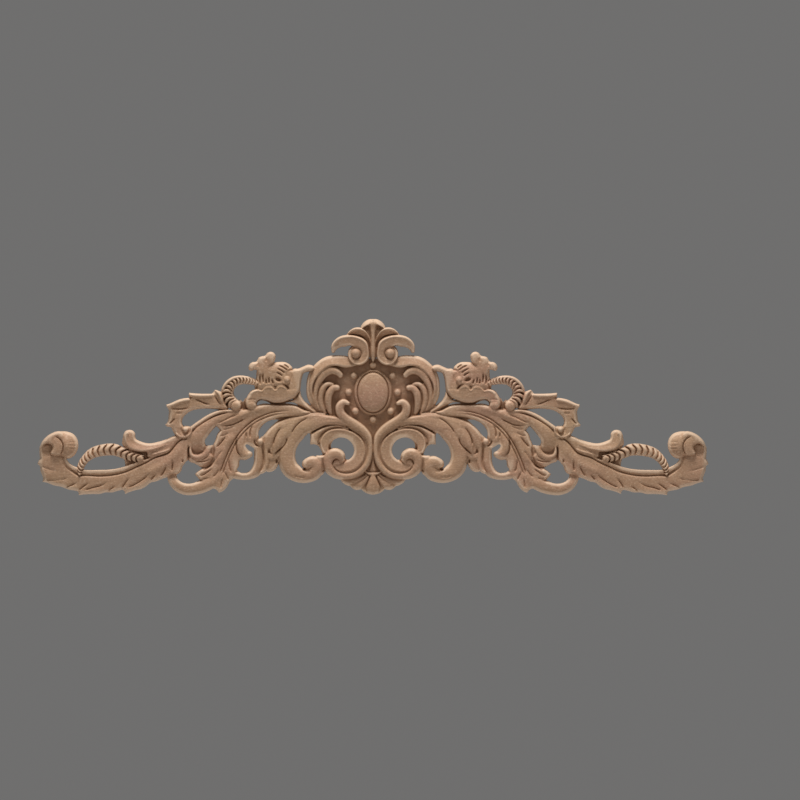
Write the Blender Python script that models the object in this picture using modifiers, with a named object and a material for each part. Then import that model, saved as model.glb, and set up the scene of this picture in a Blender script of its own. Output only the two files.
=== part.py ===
"""A carved wood applique: one pierced, flat-backed rococo ornament, to be fixed on a door, frieze or chest.

The right half is drawn on a flat grid and carved as a height field. Strokes (bands), leaf bodies (panels) and
knobs (domes) are laid on each other, creases and hollows are cut in, and the piercings go right through. The
half is then closed with side walls and a flat back, thinned to few triangles and mirrored on the centre line.

The drawing's unit is about a millimetre: x runs out from the centre line and z up from the foot. The third
value of a stroke's point is half the stroke's width there. Heights are measured from the flat back.
"""
import math

import bmesh
import bpy
import numpy as np

LENGTH = 0.350
DRAWN_LENGTH = 353.2
UNIT = LENGTH / DRAWN_LENGTH
DRAWN_HALF = 178.0
DRAWN_HEIGHT = 95.0
CABOCHON_HEIGHT = 54.5
GRID_PITCH = 0.5
TRIANGLES = 9800

GROUND = 4.4
SIDE_WALL = 3.8
BAND_EDGE = 4.0
THINNEST = 2.6
NARROWEST_CUT = 0.8
SKIRT_SLOPE = 4.0
STROKE_STEP = 0.7
SNAP = 0.3
TIP = 1

WOOD = (0.50, 0.33, 0.22, 1.0)


def trace(points, closed=False):
    """A smooth line through a stroke's points, in even steps; every value of a point is carried along."""
    knots = np.array(points, float)
    if closed:
        knots = np.vstack([knots[-2:], knots, knots[:3]])
    run = np.concatenate([[0.0], np.cumsum(np.hypot(*np.diff(knots[:, :2], axis=0).T))])
    lean = np.gradient(knots, run, axis=0, edge_order=2 if len(knots) > 2 else 1)
    start, stop = (run[2], run[-3]) if closed else (0.0, run[-1])
    at = np.linspace(start, stop, max(3, int((stop - start) / STROKE_STEP) + 1))
    i = np.clip(np.searchsorted(run, at, side="right") - 1, 0, len(run) - 2)
    gap = (run[i + 1] - run[i])[:, None]
    t = (at[:, None] - run[i][:, None]) / gap
    return (
        (2 * t**3 - 3 * t**2 + 1) * knots[i]
        + (t**3 - 2 * t**2 + t) * gap * lean[i]
        + (3 * t**2 - 2 * t**3) * knots[i + 1]
        + (t**3 - t**2) * gap * lean[i + 1]
    )


def ring(outline):
    """A closed smooth line; a point marked TIP is a sharp corner."""
    corners = [i for i, point in enumerate(outline) if len(point) > 2]
    flat_points = [point[:2] for point in outline]
    if not corners:
        return trace(flat_points, closed=True)
    spans = []
    for here, there in zip(corners, corners[1:] + [corners[0] + len(outline)]):
        spans.append(trace([flat_points[k % len(outline)] for k in range(here, there + 1)])[:-1])
    rows = np.vstack(spans)
    return np.vstack([rows, rows[:1]])


def offsets(path, x, z):
    """For each place: its distance to a path, the side it lies on (left is +1), the path's values at the
    nearest point, and how far along the path that point is, from 0 to 1."""
    start, step = path[:-1], np.diff(path, axis=0)
    dx = x.ravel()[:, None] - start[:, 0]
    dz = z.ravel()[:, None] - start[:, 1]
    t = np.clip((dx * step[:, 0] + dz * step[:, 1]) / (step[:, :2] ** 2).sum(1), 0, 1)
    dx -= t * step[:, 0]
    dz -= t * step[:, 1]
    far = dx * dx + dz * dz
    near = far.argmin(1)
    row = np.arange(len(near))
    t = t[row, near]
    side = np.sign(step[near, 0] * dz[row, near] - step[near, 1] * dx[row, near])
    values = start[near] + t[:, None] * step[near]
    return (
        np.sqrt(far[row, near]).reshape(x.shape),
        side.reshape(x.shape),
        values.reshape(x.shape + (-1,)),
        ((near + t) / len(start)).reshape(x.shape),
    )


def is_inside(path, x, z):
    """True where a place lies inside a closed path."""
    after = np.roll(path, -1, axis=0)
    px, pz = x.ravel()[:, None], z.ravel()[:, None]
    rise = after[:, 1] - path[:, 1]
    rise = np.where(np.abs(rise) < 1e-9, 1e-9, rise)
    spans = (path[:, 1] > pz) != (after[:, 1] > pz)
    crossed = px < path[:, 0] + (pz - path[:, 1]) * (after[:, 0] - path[:, 0]) / rise
    return ((spans & crossed).sum(1) % 2 == 1).reshape(x.shape)


def quarter_round(t):
    """Rises from 0 to 1 like a quarter circle."""
    return np.sqrt(np.clip(1 - (1 - np.clip(t, 0, 1)) ** 2, 0, 1))


def ease(t):
    t = np.clip(t, 0, 1)
    return t * t * (3 - 2 * t)


def crown(u):
    """A stroke's section: nearly flat, a little crowned, with tight round edges. u runs from -1 to 1."""
    return (1 - 0.2 * u * u) * np.sqrt(np.clip(1 - np.abs(u) ** 6, 0, 1))


def pillow(u):
    return np.sqrt(np.clip(1 - np.abs(u) ** 3, 0, 1))


def flat(u):
    return np.sqrt(np.clip(1 - np.abs(u) ** 8, 0, 1))


def roll(u):
    return np.sqrt(np.clip(1 - u * u, 0, 1))


def rim_left(u):
    """Nearly flat, with a thin rim along the left edge."""
    face = 0.80 + 0.05 * (u + 1) + 0.10 * np.clip((u - 0.35) / 0.35, 0, 1) ** 2
    return face * np.sqrt(np.clip(1 - np.abs(u) ** 7, 0, 1))


def rim_right(u):
    return rim_left(-u)


def lip_left(u):
    """A high round rim along the left edge; the face dips away to the right."""
    face = np.where(u > 0.62, 1.0, 0.58 + 0.42 * np.clip((u + 1) / 1.62, 0, 1) ** 3)
    left = np.sqrt(np.clip(1 - np.clip((u - 0.62) / 0.38, 0, 1) ** 2, 0, 1))
    right = np.sqrt(np.clip(1 - np.clip((-u - 0.6) / 0.4, 0, 1) ** 3, 0, 1))
    return face * left * right


class Carving:
    """The right half as a height field, with a second field that is negative inside the outline."""

    def __init__(self, pitch):
        self.pitch = pitch
        self.x = np.arange(0.0, DRAWN_HALF + pitch / 2, pitch)
        self.z = np.arange(-1.0, DRAWN_HEIGHT + pitch / 2, pitch)
        self.height = np.zeros((len(self.z), len(self.x)))
        self.outside = np.full(self.height.shape, 6.0)

    def window(self, path, reach):
        low = path[:, :2].min(0) - reach
        high = path[:, :2].max(0) + reach
        i = np.searchsorted(self.x, [low[0], high[0]])
        j = np.searchsorted(self.z, [low[1], high[1]])
        x, z = np.meshgrid(self.x[i[0]:i[1]], self.z[j[0]:j[1]])
        return np.s_[j[0]:j[1], i[0]:i[1]], x, z

    def lay(self, here, top, outside, soft):
        """Puts a form on what is there; soft is the width of the fillet between the two."""
        below = self.height[here]
        fillet = np.maximum(soft - np.abs(top - below), 0) ** 2 / (4 * soft)
        self.height[here] = np.maximum(below, top) + fillet
        self.outside[here] = np.minimum(self.outside[here], outside)

    def cut(self, here, depth):
        was = self.height[here]
        self.height[here] = np.minimum(was, np.maximum(was - depth, THINNEST))

    def band(self, points, crest, section=crown, edge=BAND_EDGE, soft=0.25):
        """A stroke along points (x, z, half width), as high as crest, one value or one for each point."""
        rows = np.array(points, float)
        path = trace(np.column_stack([rows, np.broadcast_to(crest, len(rows))]))
        path[:, 2] = np.maximum(path[:, 2], 0.2)
        here, x, z = self.window(path, path[:, 2].max() + 1.6)
        away, side, at, _ = offsets(path, x, z)
        half_width = at[..., 2]
        top = edge + (at[..., 3] - edge) * section(np.clip(away / half_width, 0, 1) * side)
        skirt = edge - SKIRT_SLOPE * (away - half_width)
        self.lay(here, np.where(away > half_width, skirt, top), away - half_width, soft)

    def oval(self, cx, cz, rx, rz, turn, reach):
        here, x, z = self.window(np.array([[cx, cz]]), max(rx, rz) + reach)
        c, s = math.cos(math.radians(turn)), math.sin(math.radians(turn))
        u = ((x - cx) * c + (z - cz) * s) / rx
        v = ((z - cz) * c - (x - cx) * s) / rz
        return here, np.hypot(u, v)

    def dome(self, cx, cz, rx, rz, crest, edge=BAND_EDGE, section=roll, turn=0.0, soft=0.2):
        here, radius = self.oval(cx, cz, rx, rz, turn, 1.6)
        away = (radius - 1) * min(rx, rz)
        top = edge + (crest - edge) * section(np.clip(radius, 0, 1))
        self.lay(here, np.where(away > 0, edge - SKIRT_SLOPE * away, top), away, soft)

    def hollow(self, cx, cz, rx, rz, depth, turn=0.0):
        here, radius = self.oval(cx, cz, rx, rz, turn, 0.5)
        self.cut(here, depth * np.clip(1 - radius**2, 0, 1))

    def away_from(self, outline, reach):
        path = ring(outline)
        here, x, z = self.window(path, reach)
        away = offsets(path, x, z)[0]
        return here, np.where(is_inside(path, x, z), -away, away)

    def panel(self, outline, level, edge=BAND_EDGE, bevel=1.0, soft=0.2):
        """A body with a drawn outline, rounded over the width bevel at its edge."""
        here, away = self.away_from(outline, 1.6)
        top = edge + (level - edge) * quarter_round(-away / bevel)
        self.lay(here, np.where(away > 0, edge - SKIRT_SLOPE * away, top), away, soft)

    def hole(self, outline):
        here, away = self.away_from(outline, 3.0)
        self.outside[here] = np.maximum(self.outside[here], -away)

    def crease(self, points, depth=1.6, wide=1.0, lean=0.0, fade=(0.25, 0.25)):
        """A cut that fades at its ends; lean from 0 to 1 makes its left side the gentle one, below 0 its
        right."""
        path = trace(points)
        wide = max(wide, NARROWEST_CUT)
        here, x, z = self.window(path, wide * (1 + abs(lean)) + 0.2)
        away, side, _, along = offsets(path, x, z)
        reach = np.where(side > 0, wide * (1 + lean), wide * (1 - lean))
        power = np.where(reach > wide, 2.2, 1.3)
        form = np.clip(1 - away / np.maximum(reach, 0.35), 0, 1) ** power
        for share, part in zip(fade, (along, 1 - along)):
            if share:
                form = form * ease(part / share)
        self.cut(here, depth * form)

    def ridge(self, points, rise, wide, fade=0.2):
        """A soft raised line on what is there."""
        path = trace(points)
        here, x, z = self.window(path, wide + 0.2)
        away, _, _, along = offsets(path, x, z)
        ends = ease(along / fade) * ease((1 - along) / fade)
        self.height[here] += rise * ends * (0.5 + 0.5 * np.cos(np.pi * np.clip(away / wide, 0, 1)))

    def ribs(self, points, count, depth, wide):
        """Cuts across a band at even steps, like the turns of a cord."""
        path = trace(points)
        here, x, z = self.window(path, path[:, 2].max() + 0.3)
        away, _, at, along = offsets(path, x, z)
        pitch = np.hypot(*np.diff(path[:, :2], axis=0).T).sum() / count
        from_cut = np.abs(along * count - np.round(along * count)) * pitch
        self.cut(here, depth * np.clip(1 - from_cut / wide, 0, 1) * (away < at[..., 2]))


def both_sides(outline):
    """A closed outline out of its right half, which starts and ends on the centre line."""
    return outline + [(-point[0], *point[1:]) for point in reversed(outline) if point[0] > 0]


def beside(points, by):
    """The line that runs beside a stroke, to its left by that much."""
    rows = np.array(points, float)[:, :2]
    ahead = np.gradient(rows, axis=0)
    ahead /= np.hypot(*ahead.T)[:, None]
    return (rows + by * np.column_stack([-ahead[:, 1], ahead[:, 0]])).tolist()


def carve_crest(c):
    """The three-leaved palmette at the top, between two scrolls that end in a bead."""
    c.panel(both_sides([(0, 93.1), (2.4, 92.9), (4.3, 91.8), (5.6, 90.2), (6.5, 88.2, TIP), (4.6, 86.8),
                        (2.6, 84.4), (1.8, 81), (1.8, 73), (0, 71.4)]), 5.6, edge=SIDE_WALL, bevel=0.5)
    c.panel([(1.0, 74), (1.2, 80), (2.8, 85), (6, 88), (9.5, 88.2), (12.5, 86.6), (14, 84.6), (10, 80),
             (5, 74)], 5.0, edge=SIDE_WALL)
    c.dome(9.0, 75.1, 4.2, 4.4, 6.6, edge=SIDE_WALL, section=flat)
    c.hollow(3.6, 88.6, 2.2, 1.7, 1.2, 20)
    c.band([(-1.6, 91.35, 1.7), (0, 91.4, 1.7), (2.7, 91.0, 1.65), (4.6, 89.9, 1.3), (5.9, 88.7, 0.7)],
           (9.2, 9.2, 9.2, 8.8, 8.2), pillow)
    c.band([(0, 71.2, 0.7), (0, 73.5, 1.4), (0, 80, 1.15), (0, 86, 1.2), (0, 88.8, 2.0), (0, 90.6, 2.8)],
           (7.4, 8.2, 8.4, 8.6, 8.9, 9.2), pillow, soft=0.8)
    c.band([(2.0, 78, 0.9), (3.2, 83.6, 1.5), (5.9, 86.2, 2.0), (9.2, 86.7, 1.9), (12.2, 85.8, 0.9)],
           (7, 8, 8.4, 8.6, 7.8), lip_left)
    c.band([(20.3, 76.8, 1.4), (19.6, 79.2, 2.3), (17.3, 81.2, 2.9), (13.5, 81.8, 3.4), (9, 81.0, 3.4),
            (5.6, 79.4, 3.3), (4.0, 76.5, 3.0), (4.4, 73, 2.6), (6.7, 70.9, 2.1), (9.6, 70.9, 1.7),
            (11.5, 72.3, 1.2), (12.3, 74.5, 1.0), (11.9, 76.6, 0.7)],
           (7.8, 8.4, 9, 9.2, 9.4, 9.4, 9.2, 9.0, 8.8, 8.6, 8.5, 8.4, 8.2), rim_right)
    c.dome(9.0, 75.1, 2.8, 2.8, 9.4, edge=5.5)
    c.crease([(11.4, 77.0), (9, 78.4), (6.6, 77), (6.0, 74.6), (7.2, 72.7), (9.4, 72.0), (11.3, 73.4)],
             1.2, 0.7, fade=(0.2, 0.1))


def carve_shield(c):
    """The sunk field round the cabochon, its frame, and the three fingers that curl in from each side."""
    c.panel([(0, 72), (12, 70), (20, 70.5), (29, 66), (34, 60), (33, 50), (29, 45), (24, 43), (20, 42),
             (14, 40), (6, 34), (-1, 26), (-6, 40), (-6, 60)], GROUND, edge=SIDE_WALL, bevel=0.4)
    c.band([(9.4, 69.6, 1.2), (14, 70.4, 3.1), (19, 71.1, 2.9), (24, 70.4, 2.9), (28.5, 67.3, 2.8),
            (31.9, 62.8, 2.4), (33.3, 58, 1.8), (33.1, 53, 1.7), (31.3, 48.8, 1.6), (28.6, 45.4, 0.9)],
           (7.4, 8.0, 8.4, 8.6, 8.6, 8.5, 8.4, 8, 7.5, 7))
    c.band([(17.2, 63.7, 1.6), (18.8, 65.2, 1.9), (22, 66.1, 2.2), (25.6, 64.5, 2.4), (28.2, 61, 2.1),
            (29.8, 57, 1.6), (30.4, 52.5, 1.3), (29.6, 48, 1.0), (27.3, 44.6, 0.6)],
           (7.4, 7.8, 8, 8, 7.9, 7.8, 7.5, 7, 6))
    c.band([(21.4, 58.6, 1), (23.8, 58.8, 1.4), (26.2, 56.9, 1.7), (27.5, 53, 1.7), (27.6, 49.5, 1.6),
            (26.6, 46.3, 1.3), (25, 43.6, 0.8)], (6.8, 7.4, 7.6, 7.6, 7.3, 7, 6))
    c.band([(18.9, 57, 1.6), (21.2, 56.6, 1.9), (23.0, 54, 2.1), (23.7, 50.5, 2.1), (23.4, 47, 1.8),
            (22.2, 43.2, 1.0)], (7.4, 7.8, 8, 7.8, 7.2, 6))


def carve_cabochon(c):
    """The plain oval boss in its ring, with eight pearls round it."""
    c.dome(0, CABOCHON_HEIGHT, 10.3, 12.3, 7.4, edge=SIDE_WALL, section=crown)
    c.dome(0, CABOCHON_HEIGHT, 8.2, 10.5, 8.4, edge=6.4)
    line = [(8.3 * math.sin(math.radians(a)), CABOCHON_HEIGHT + 10.6 * math.cos(math.radians(a)))
            for a in range(0, 181, 15)]
    c.crease(line, 1.5, 0.6, fade=(0, 0))
    for turn in (90, 38, 0, -44, -90):
        angle = math.radians(turn)
        c.dome(12.9 * math.cos(angle), CABOCHON_HEIGHT + 14.35 * math.sin(angle), 1.9, 1.9, 6.4,
               edge=SIDE_WALL)


def carve_shell(c):
    """The small fluted shell at the foot."""
    c.panel([(0, 21), (2.3, 15.5), (6, 12.5), (12, 10), (18, 9.6), (17.2, 8.6), (15.6, 6.7),
             (12, 5.2, TIP), (10.2, 3.6), (6.1, 3.6, TIP), (5.2, 2.6), (3, 1.3), (0, 0.8), (-6, 3),
             (-6, 12)], 4.8, bevel=0.5)
    c.band([(0, 21, 0.4), (0, 16, 1.3), (0, 13.6, 2.3)], 5.8, pillow)
    c.band([(-2.2, 11.8, 0.8), (0, 11.4, 0.9), (2.2, 11.8, 0.8), (4, 12.8, 0.4)], 6.4, pillow)
    c.band([(0, 10.2, 1.6), (0, 7, 3.0), (0, 4.6, 3.9)], (6.6, 7.0, 6.8), crown)
    c.band([(2.6, 10.2, 0.7), (4.9, 7.3, 1.5), (7.4, 5.6, 1.9), (9.2, 5.2, 1.7)], (6.2, 6.4, 6.4, 6))
    c.band([(3.6, 11.0, 0.6), (7.2, 8.7, 1.2), (11.5, 7.4, 1.5), (15.2, 7.9, 1.2)], (6.0, 6.2, 6.2, 5.8))
    c.band([(5, 11.9, 0.5), (9, 9.9, 0.9), (14, 9.2, 0.8), (18, 9.8, 0.4)], 5.8)


def carve_heart(c):
    """The long S scroll that bounds the heart-shaped field, and the C scroll that lies in its curl."""
    c.panel([(0, 34), (8, 38), (17, 42), (20, 38), (27, 35), (29, 29), (27.3, 25), (26, 21), (26.3, 15),
             (23.5, 12), (19, 9.7), (13, 9.3), (6, 12), (0, 20), (-4, 27)], GROUND, edge=SIDE_WALL,
            bevel=0.5)
    c.band([(17, 40.6, 1.0), (11, 35.4, 1.0), (6.3, 32.2, 1.0), (3.9, 28.6, 1.0), (3.3, 24, 1.0),
            (4.3, 19, 1.0), (7, 15.2, 1.0), (11, 12.8, 1.0), (15.5, 12.2, 1.0), (19.6, 13.7, 1.0),
            (21.4, 16.6, 1.0)], 6.5)
    c.panel([(14.6, 18.9), (15.8, 20.8), (18, 21.2), (21, 20.2), (22.2, 17), (20.6, 15), (18, 16.2),
             (16, 17)], 7.7)
    c.band([(13.2, 48.7, 1.1), (15.3, 49.2, 1.9), (17.3, 47.3, 2.4), (17.2, 44, 2.6), (14.4, 40.6, 2.6),
            (9.6, 37.6, 2.5), (5.3, 34.4, 2.4), (2.7, 31.2, 2.1), (1.6, 27, 1.65), (1.6, 22, 1.6),
            (3.2, 17, 1.75), (6.4, 13.1, 1.8), (9.6, 11.1, 1.8), (15, 10.3, 1.8), (19.6, 11.4, 2.2),
            (22.6, 14, 2.7), (23.6, 17.5, 3.0), (22.6, 20.7, 3.3), (19.8, 21.9, 3.3), (17.6, 20.9, 3.0)],
           (8.0, 8.2, 8.4, 8.4, 8.2, 8.0, 8, 8, 7.8, 7.8, 7.8, 7.8, 7.8, 8, 8.2, 8.6, 8.8, 9, 9, 8.6))
    c.band([(25.0, 24.0, 2.0), (25.4, 28, 2.8), (23.4, 31.1, 3.1), (20, 32.6, 3.0), (15.5, 32.4, 3.0),
            (11, 30.5, 3.2), (7.9, 27.4, 3.4), (6.9, 23.5, 3.5), (8.0, 19.7, 3.5), (10.6, 16.9, 3.5),
            (13.9, 15.4, 3.0), (17.0, 14.9, 2.3), (19.4, 15.9, 1.4), (20.3, 17.5, 0.9), (19.6, 18.8, 0.6),
            (18.5, 18.7, 0.4)],
           (7.6,) * 12 + (7.8, 8.0, 8.0, 7.6), rim_right)
    c.crease([(21.4, 15.6), (21.3, 17.4), (20.4, 18.9), (19.1, 19.5), (17.8, 18.8), (17.3, 17.6)], 1.3,
             0.5)
    c.hole([(10, 25), (11.6, 28.4), (14.5, 30.4), (18, 30.7), (20.8, 29.3), (22.1, 26.8), (22, 25.2, TIP),
            (19.5, 25.3), (16.6, 24.3), (14.8, 22), (14.6, 19.6, TIP), (13.4, 19), (11.2, 20.4),
            (10, 23)])


def carve_leaf_scroll(c):
    """The leaf that rolls down beside the heart: two petals, the rolled stem and two outer lobes."""
    c.panel([(16, 35.6), (20, 42), (26, 43), (34, 43.8), (42, 41.5), (50, 38), (56, 31), (57, 24),
             (55, 20), (50, 22), (46, 30), (40, 33.5), (35, 34), (33, 32.5, TIP), (33.1, 27, TIP),
             (29.4, 26.7), (27, 23.5), (26.4, 20), (26.6, 13), (31, 16), (36, 15.5), (30, 9.5),
             (26.2, 11.6), (25.2, 20), (28, 31), (24, 34.2), (19, 35.6)], 5.6, edge=SIDE_WALL, bevel=0.8)
    c.band([(18, 40.4, 0.8), (25, 40.5, 1.8), (32, 38.3, 3.0), (38, 34.6, 3.9), (42.6, 29.5, 4.6),
            (45, 24, 4.7), (45.3, 19, 4.6), (43.6, 14.4, 4.6), (39.4, 11.5, 4.3), (34.6, 10.9, 3.9),
            (30.8, 12.8, 4.0), (29.9, 16.0, 3.6), (31.8, 17.5, 3.7), (34.2, 16.8, 3.2)],
           (6.4, 7.2, 7.6, 7.9, 8, 8, 8, 8, 8.2, 8.5, 8.7, 8.9, 9, 8.8), soft=1.0)
    c.panel([(12.8, 36.4), (17.4, 41.4), (21, 42.2), (26, 43), (34, 43.2), (42, 40.8), (48, 37.4),
             (45, 31), (38, 34.6), (33.4, 33.2), (28, 36), (22, 37.6), (16, 37.4)], 7.6, bevel=1.4,
            soft=1.2)
    c.panel([(26.2, 13.8), (25.6, 17), (25.4, 21.8), (27.4, 21.6), (29.4, 21.6), (31, 17), (30, 13)], 8.0,
            bevel=1.6, soft=1.0)
    c.band([(26.5, 19.4, 1.0), (26.7, 16, 1.0), (26.5, 14.2, 0.8)], 7.2)
    c.band([(13.6, 35.4, 1.0), (18, 35.9, 1.0), (22, 35.4, 1.0), (25.5, 33.6, 1.0), (27.8, 31, 1.0),
            (28.3, 28.6, 0.8)], 6.5)
    c.panel([(14, 35.9), (20, 36.1), (25, 34.7), (27.9, 31.8), (28.8, 28.8), (28.9, 26.7, TIP),
             (33.2, 27, TIP), (32.9, 30), (32.8, 32.4, TIP), (30, 34.4), (26, 36.2), (22, 37.2),
             (17.5, 37.2)], 7.6, edge=5.6, bevel=1.6)
    c.band([(14.5, 36.8, 0.3), (20, 38.5, 1.0), (25, 38.3, 1.3), (30, 36.2, 1.3), (33.8, 33.6, 0.6)],
           (6.8, 7.6, 7.9, 7.7, 7.2), rim_left, edge=6, soft=0.6)
    c.crease([(13.4, 35.6), (18, 35.9), (22, 35.4), (25.5, 33.6), (27.8, 31), (28.5, 28.6)], 0.9, 0.6)
    c.crease([(22, 37.6), (26.5, 36.5), (30, 34.6), (32.6, 32.8)], 1.3, 0.6, 0.2)
    c.hollow(36.2, 14.1, 1.3, 0.9, 1.8, -40)
    c.crease([(38.2, 15.6), (36.6, 14), (34.4, 13.1), (32.4, 13.6)], 0.7, 1.1, 0.3)
    c.band([(26, 42.7, 1.2), (32, 42.4, 1.6), (38, 40.6, 2.2), (44, 38.4, 2.8), (50, 34.2, 3.2),
            (54, 29.6, 3.0), (55.6, 25.5, 2.2), (56, 21.5, 0.8)],
           (6.6, 7.2, 7.4, 7.6, 7.8, 7.8, 7.4, 6.8), soft=0.8)
    c.band([(33, 40.2, 1.6), (38, 38.6, 2.2), (43.4, 35.6, 3.0), (48, 31, 3.4), (50.6, 26.8, 2.8),
            (52.3, 22.3, 0.7)], (6.8, 7.6, 8.0, 8.3, 8.2, 7.4), soft=0.8)
    c.panel([(49.4, 23), (50.1, 16), (52.4, 13.2), (55, 12.6), (57.5, 14), (57.5, 18), (56.5, 25)], 6.2,
            bevel=1.2)
    c.panel([(47, 27), (57, 28), (58, 24), (57, 20), (50, 19.6), (48, 23)], 6.9)
    c.crease([(45.3, 31), (45.6, 28.5), (47.6, 25.6), (50, 23.6), (52, 22.0)], 1.4, 0.6, 0.3, (0.1, 0.1))
    c.crease([(34.2, 41.1), (37.5, 39.4), (40.6, 36.6), (43, 32.6)], 1.2, 0.7, 0.4, (0.15, 0.15))
    c.crease([(48.3, 36.1), (50.5, 33), (51.8, 30), (52.3, 26.6)], 1.2, 0.7, 0.4, (0.15, 0.15))
    c.hole([(33, 32.6, TIP), (36.4, 30.3), (39.3, 27), (40.9, 22.5), (40.5, 18.5), (38.6, 16.1, TIP),
            (37.3, 18), (35.7, 19.5), (33.8, 20.5), (31.6, 21.2), (29.4, 21.3), (27.6, 21.3),
            (26.5, 22.3, TIP), (27.8, 24.4), (29.2, 26.6), (33, 27, TIP)])


def carve_trunk(c):
    """The two stems that drop between the leaf scroll and the main leaf."""
    c.panel([(50, 24), (54, 20), (56, 13), (58, 12.3), (61, 10), (65, 8.7), (70, 8.6), (74, 9.8),
             (75, 12), (71.5, 13.5), (67, 12.2), (64, 14), (62.7, 18), (62.6, 25), (61, 28), (59, 31),
             (56, 33.5), (52, 34)], 6.2, edge=SIDE_WALL, bevel=0.8)
    c.band([(57.0, 28, 0.9), (56.3, 24, 1.3), (56.0, 20, 1.5), (56.2, 16.5, 1.6), (57.4, 13.8, 1.4),
            (58.8, 12.6, 1.0)], 7.2, pillow)
    c.band([(60.4, 27, 2.1), (60.2, 22, 2.3), (60.2, 18, 2.4), (61.2, 14.5, 2.4), (63.6, 11.5, 2.1),
            (67, 10.4, 1.8), (71, 10.9, 1.9), (75, 12.5, 1.4)], 7.6)


def carve_main_leaf(c):
    """The long leaf that runs out and down from the shield, with a raised rib and lobes on both sides."""
    c.panel([(32, 44.2), (36, 45.3), (40, 47.3), (50, 48.3), (60, 48), (66.5, 46), (72, 44.6), (80, 41),
             (84.4, 37.5, TIP), (82, 36.3), (80.5, 34.5, TIP), (82, 32.5), (83, 29.4), (84, 27),
             (83.8, 24, TIP), (84.5, 20), (86, 16), (90, 14.6), (93.9, 11.4, TIP), (91.5, 8.7), (88, 6),
             (84.6, 4), (83, 3.6), (81.2, 1.7, TIP), (79, 2.6), (77, 4.5), (75, 8), (73, 9.6), (71.5, 13),
             (70.5, 16), (70, 18.9), (67, 18.9), (64, 20), (62, 26), (60, 31), (59, 36), (56, 38.8),
             (52, 40.4), (42, 41.6), (36, 42.4)], 7.6, edge=SIDE_WALL, bevel=1.2)
    c.band([(60.5, 39.5, 1.8), (62.8, 35.5, 2.6), (64.2, 31.5, 3.2), (63, 27.6, 2.2)],
           (7.6, 8.0, 8.2, 7.8), soft=1.2)
    c.band([(67.5, 35, 1.8), (69.2, 31, 2.4), (69.8, 27, 2.7), (69, 23.4, 2.6), (66.8, 21.5, 1.9),
            (65, 21.9, 1.4)], (7.6, 8.2, 8.5, 8.5, 8.4, 8.2), soft=1.2)
    c.ridge([(54, 46.6), (60, 45.6), (68, 43), (76, 40), (83, 37.8)], 0.7, 2.6)
    c.ridge([(73, 33), (76.5, 28), (79.5, 22), (82, 16)], 0.7, 3.0)
    rib = [(52, 44.2), (58, 42.3), (64, 39), (69, 34.5), (73.5, 28.5), (77, 21.5), (79.5, 15), (81, 11.0)]
    c.crease([(43, 44.4)] + rib, 1.3, 0.75, 0.25, (0.15, 0.06))
    c.crease([(45, 43.0)] + beside(rib, -1.5), 1.1, 0.75, -0.1, (0.2, 0.06))
    for line, depth, wide in (
        ([(66.5, 41.5), (71, 38.7), (76, 37), (80.2, 37.2)], 1.3, 0.8),
        ([(77.5, 31.4), (80, 28), (82.8, 25.3)], 1.3, 0.8),
        ([(79, 24.2), (81.6, 21), (83.2, 17.6)], 0.8, 0.9),
        ([(83.2, 21), (84.5, 17), (87, 14.8), (90.4, 13.4)], 1.8, 1.1),
        ([(80.8, 14.6), (82, 12.2), (84.6, 9.8)], 0.9, 0.8),
        ([(84.5, 14.5), (87, 12.6), (89.5, 11), (91.6, 10.6)], 1.2, 0.7),
        ([(86.5, 9.7), (88.6, 8.9), (90.5, 8.6)], 0.9, 0.6),
    ):
        c.crease(line, depth, wide, 0.4)
    for line, depth, wide in (
        ([(63, 37.7), (64.7, 34), (64.5, 30)], 1.5, 0.8),
        ([(66.7, 33.6), (66.9, 32.2), (66.5, 30.8)], 1.0, 0.6),
        ([(71.3, 31.5), (72.1, 27), (71.3, 23), (68.8, 20.8)], 1.5, 0.8),
        ([(76, 19.5), (75.7, 15.5), (74.4, 12)], 1.2, 0.8),
        ([(78.2, 12.8), (77, 10.4), (76, 8)], 1.0, 0.7),
        ([(79.2, 9.4), (79.9, 6.4), (80.1, 4)], 1.0, 0.6),
    ):
        c.crease(line, depth, wide, -0.4)
    c.band([(66.4, 28.2, 1.1), (64.6, 27.0, 1.3), (62.4, 25.6, 1.4), (60.6, 25.9, 1.1)],
           (7.6, 7.8, 7.8, 7.2), pillow)
    c.crease([(61.6, 30.2), (62.4, 28.4), (61.4, 26.8), (59.4, 26.4)], 1.8, 0.7)
    c.dome(59.5, 28.4, 2.2, 2.1, 9.2, edge=6.5)
    c.dome(65.2, 22.2, 1.9, 1.7, 8.4, edge=5)
    c.crease([(70.2, 43.6), (75, 41.4), (80, 39.1), (83.6, 38.2)], 1.0, 0.7)
    c.hole([(49.8, 39.9, TIP), (53, 39.9), (56, 38.9), (59, 36), (60.3, 33.4), (60, 31.2), (58.4, 31.3),
            (56, 34), (53.4, 36.8)])
    c.hole([(62.5, 25.0, TIP), (64.3, 26.1), (66.3, 27.2), (67.2, 26.8), (66.6, 25.2), (65.2, 23.8),
            (63.6, 22.8), (63.4, 21.4), (64.6, 20.2), (66.2, 19.3), (68, 18.7), (70, 18.7, TIP),
            (70.4, 16), (71.6, 13.7), (70, 12.4), (67, 12.3), (64.4, 13.9), (63, 17.5), (62.6, 21)])


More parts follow.
